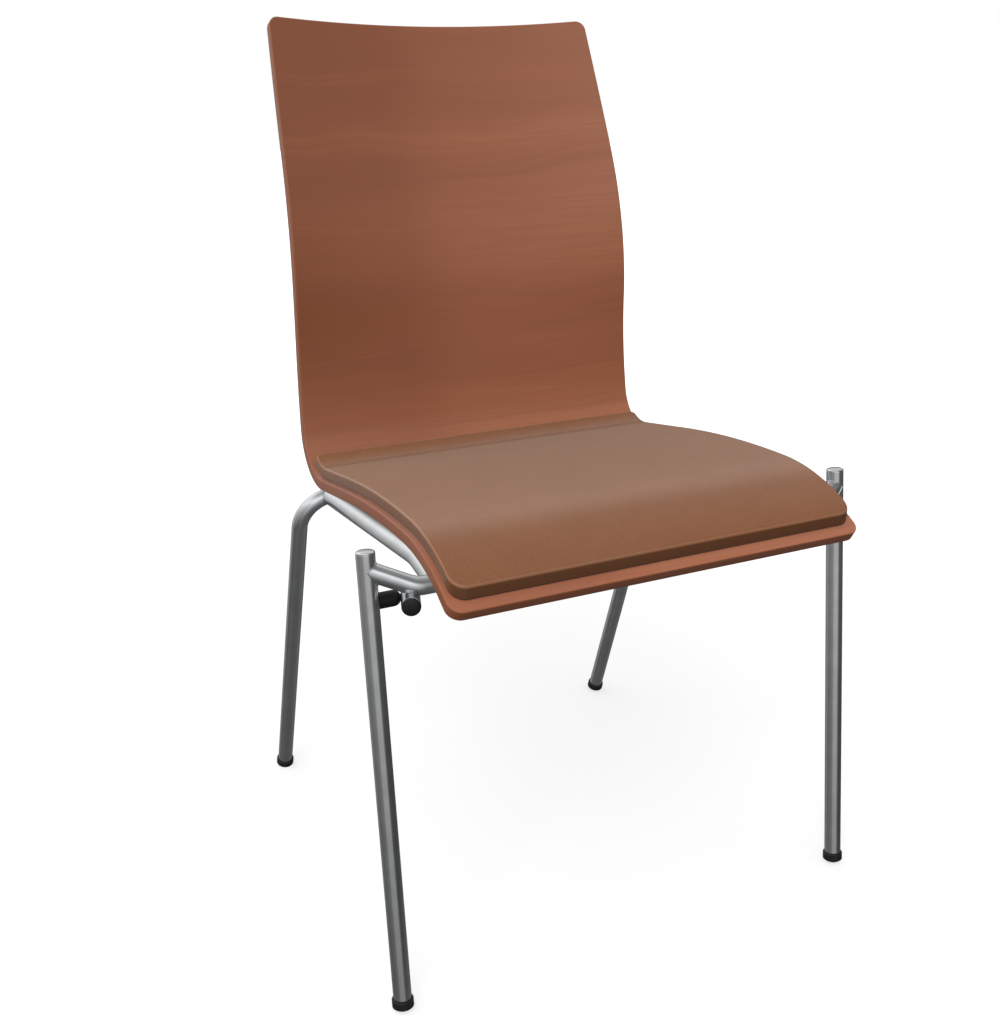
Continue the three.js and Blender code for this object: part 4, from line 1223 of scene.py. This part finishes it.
# %% [markdown]
# ## The seat pad
# A thin board and a sheet of foam are wrapped in one piece of leather. It follows the shell,
# stands 13 mm off it with a slight crown, and its sides are pulled in a little between the
# corners. The upper edge is softly rounded. The front face stands nearly upright on a sloping
# lip, so there each point is shifted back in step with its height. A cloth simulation could
# drape a cover over the foam, but this pad is thin and taut and shows no folds, so a pressed
# sheet with a crown comes near enough.

# %% Seat pad
PAD_START = 11 * MM
PAD_END_SLOPE = 38
PAD_END = BEND_START + BEND_RADIUS * MM * math.radians(PAD_END_SLOPE - SEAT_SLOPE)
PAD_HEIGHT = 12.8 * MM
PAD_INSET = 4.8 * MM
PAD_CORNERS = (16 * MM, 8.4 * MM)
PAD_LOW_EDGE = 2.0 * MM
PAD_HIGH_EDGE = 2.6 * MM
PAD_CROWN = 1 * MM
PAD_PULL_IN = 0.6 * MM
PAD_LEAN = 0.9 * math.tan(LIP_SLOPE)
pad_mesh = pressed_sheet(
    PAD_START, PAD_END, PAD_INSET, PAD_CORNERS, SHELL_THICKNESS + SEAM,
    SHELL_THICKNESS + PAD_HEIGHT, PAD_LOW_EDGE, PAD_HIGH_EDGE, PAD_CROWN, PAD_PULL_IN, PAD_LEAN,
    row_step=5 * MM, columns=56, edge_steps=6,
)
pad = place_piece(
    pad_mesh, "pad", leather,
    ["seat_pad_cover", "seat_pad_foam", "seat_pad_board"], FINE_MERGE,
)
print("pad", len(pad.data.polygons), "faces")

# %% [markdown]
# ## Mirrors and hidden fixings
# In the photograph the chrome hardly shows any wood or leather. Hiding both from mirrored rays
# is surer than moving lamps until they don't show. The plates, washers, nuts and screws under
# the seat stay as the CAD model has them. They are small and in shade, so a finish is enough.

# %% Keep wood and leather out of the mirrors
for piece in (shell, pad):
    piece.visible_glossy = False
print("not mirrored:", shell.name, pad.name)

# %% Finishes of the CAD nodes that stay
CAD_FINISHES = {
    "mount_plate": chrome, "mount_washer": rubber, "mount_screw": zinc_steel,
    "insert_nut": zinc_steel, "pad_screw": zinc_steel, "stacking_peg_screw": zinc_steel,
}
dressed = [
    (node, finish) for node_name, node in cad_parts.items()
    for prefix, finish in CAD_FINISHES.items() if node_name.startswith(prefix)
]
for node, finish in dressed:
    node.data.materials.clear()
    node.data.materials.append(finish)
print("CAD nodes that stay and get a finish", len(dressed))

# %% [markdown]
# ## The floor
# A wide grey sheet that glows, so that the chair stands on something in every view. It takes
# soft shadows and melts into the white ground further out. It is kept out of the chrome's
# mirror, as in the photograph. From below one sees through it, so that the underside shows.

# %% Floor
FLOOR_HALF = 12
FLOOR_TONE = 0.27
GLOW_REACH = (0.5, 2.2)
GLOW = (0.64, 1.0)
floor_mesh = bmesh.new()
bmesh.ops.create_grid(floor_mesh, x_segments=1, y_segments=1, size=FLOOR_HALF)
floor_data = bpy.data.meshes.new("floor")
floor_mesh.to_mesh(floor_data)
floor_mesh.free()
floor = bpy.data.objects.new("floor", floor_data)
scene.collection.objects.link(floor)
floor_finish, recipe, shader = new_finish("floor", (FLOOR_TONE,) * 3, Roughness=0.9)
away = recipe.node("ShaderNodeVectorMath", {0: recipe.coordinates()}, operation="LENGTH")
glow = recipe.span(away.outputs["Value"], *GLOW_REACH, *GLOW)
shader["Specular IOR Level"].default_value = 0.0
shader["Emission Color"].default_value = (1, 1, 1, 1)
recipe.feed(shader["Emission Strength"], glow)
from_below = recipe.node("ShaderNodeNewGeometry").outputs["Backfacing"]
recipe.feed(shader["Alpha"], recipe.maths("SUBTRACT", 1.0, from_below))
floor_data.materials.append(floor_finish)
floor.visible_glossy = False
floor.visible_diffuse = False
print("floor", 2 * FLOOR_HALF, "m wide")
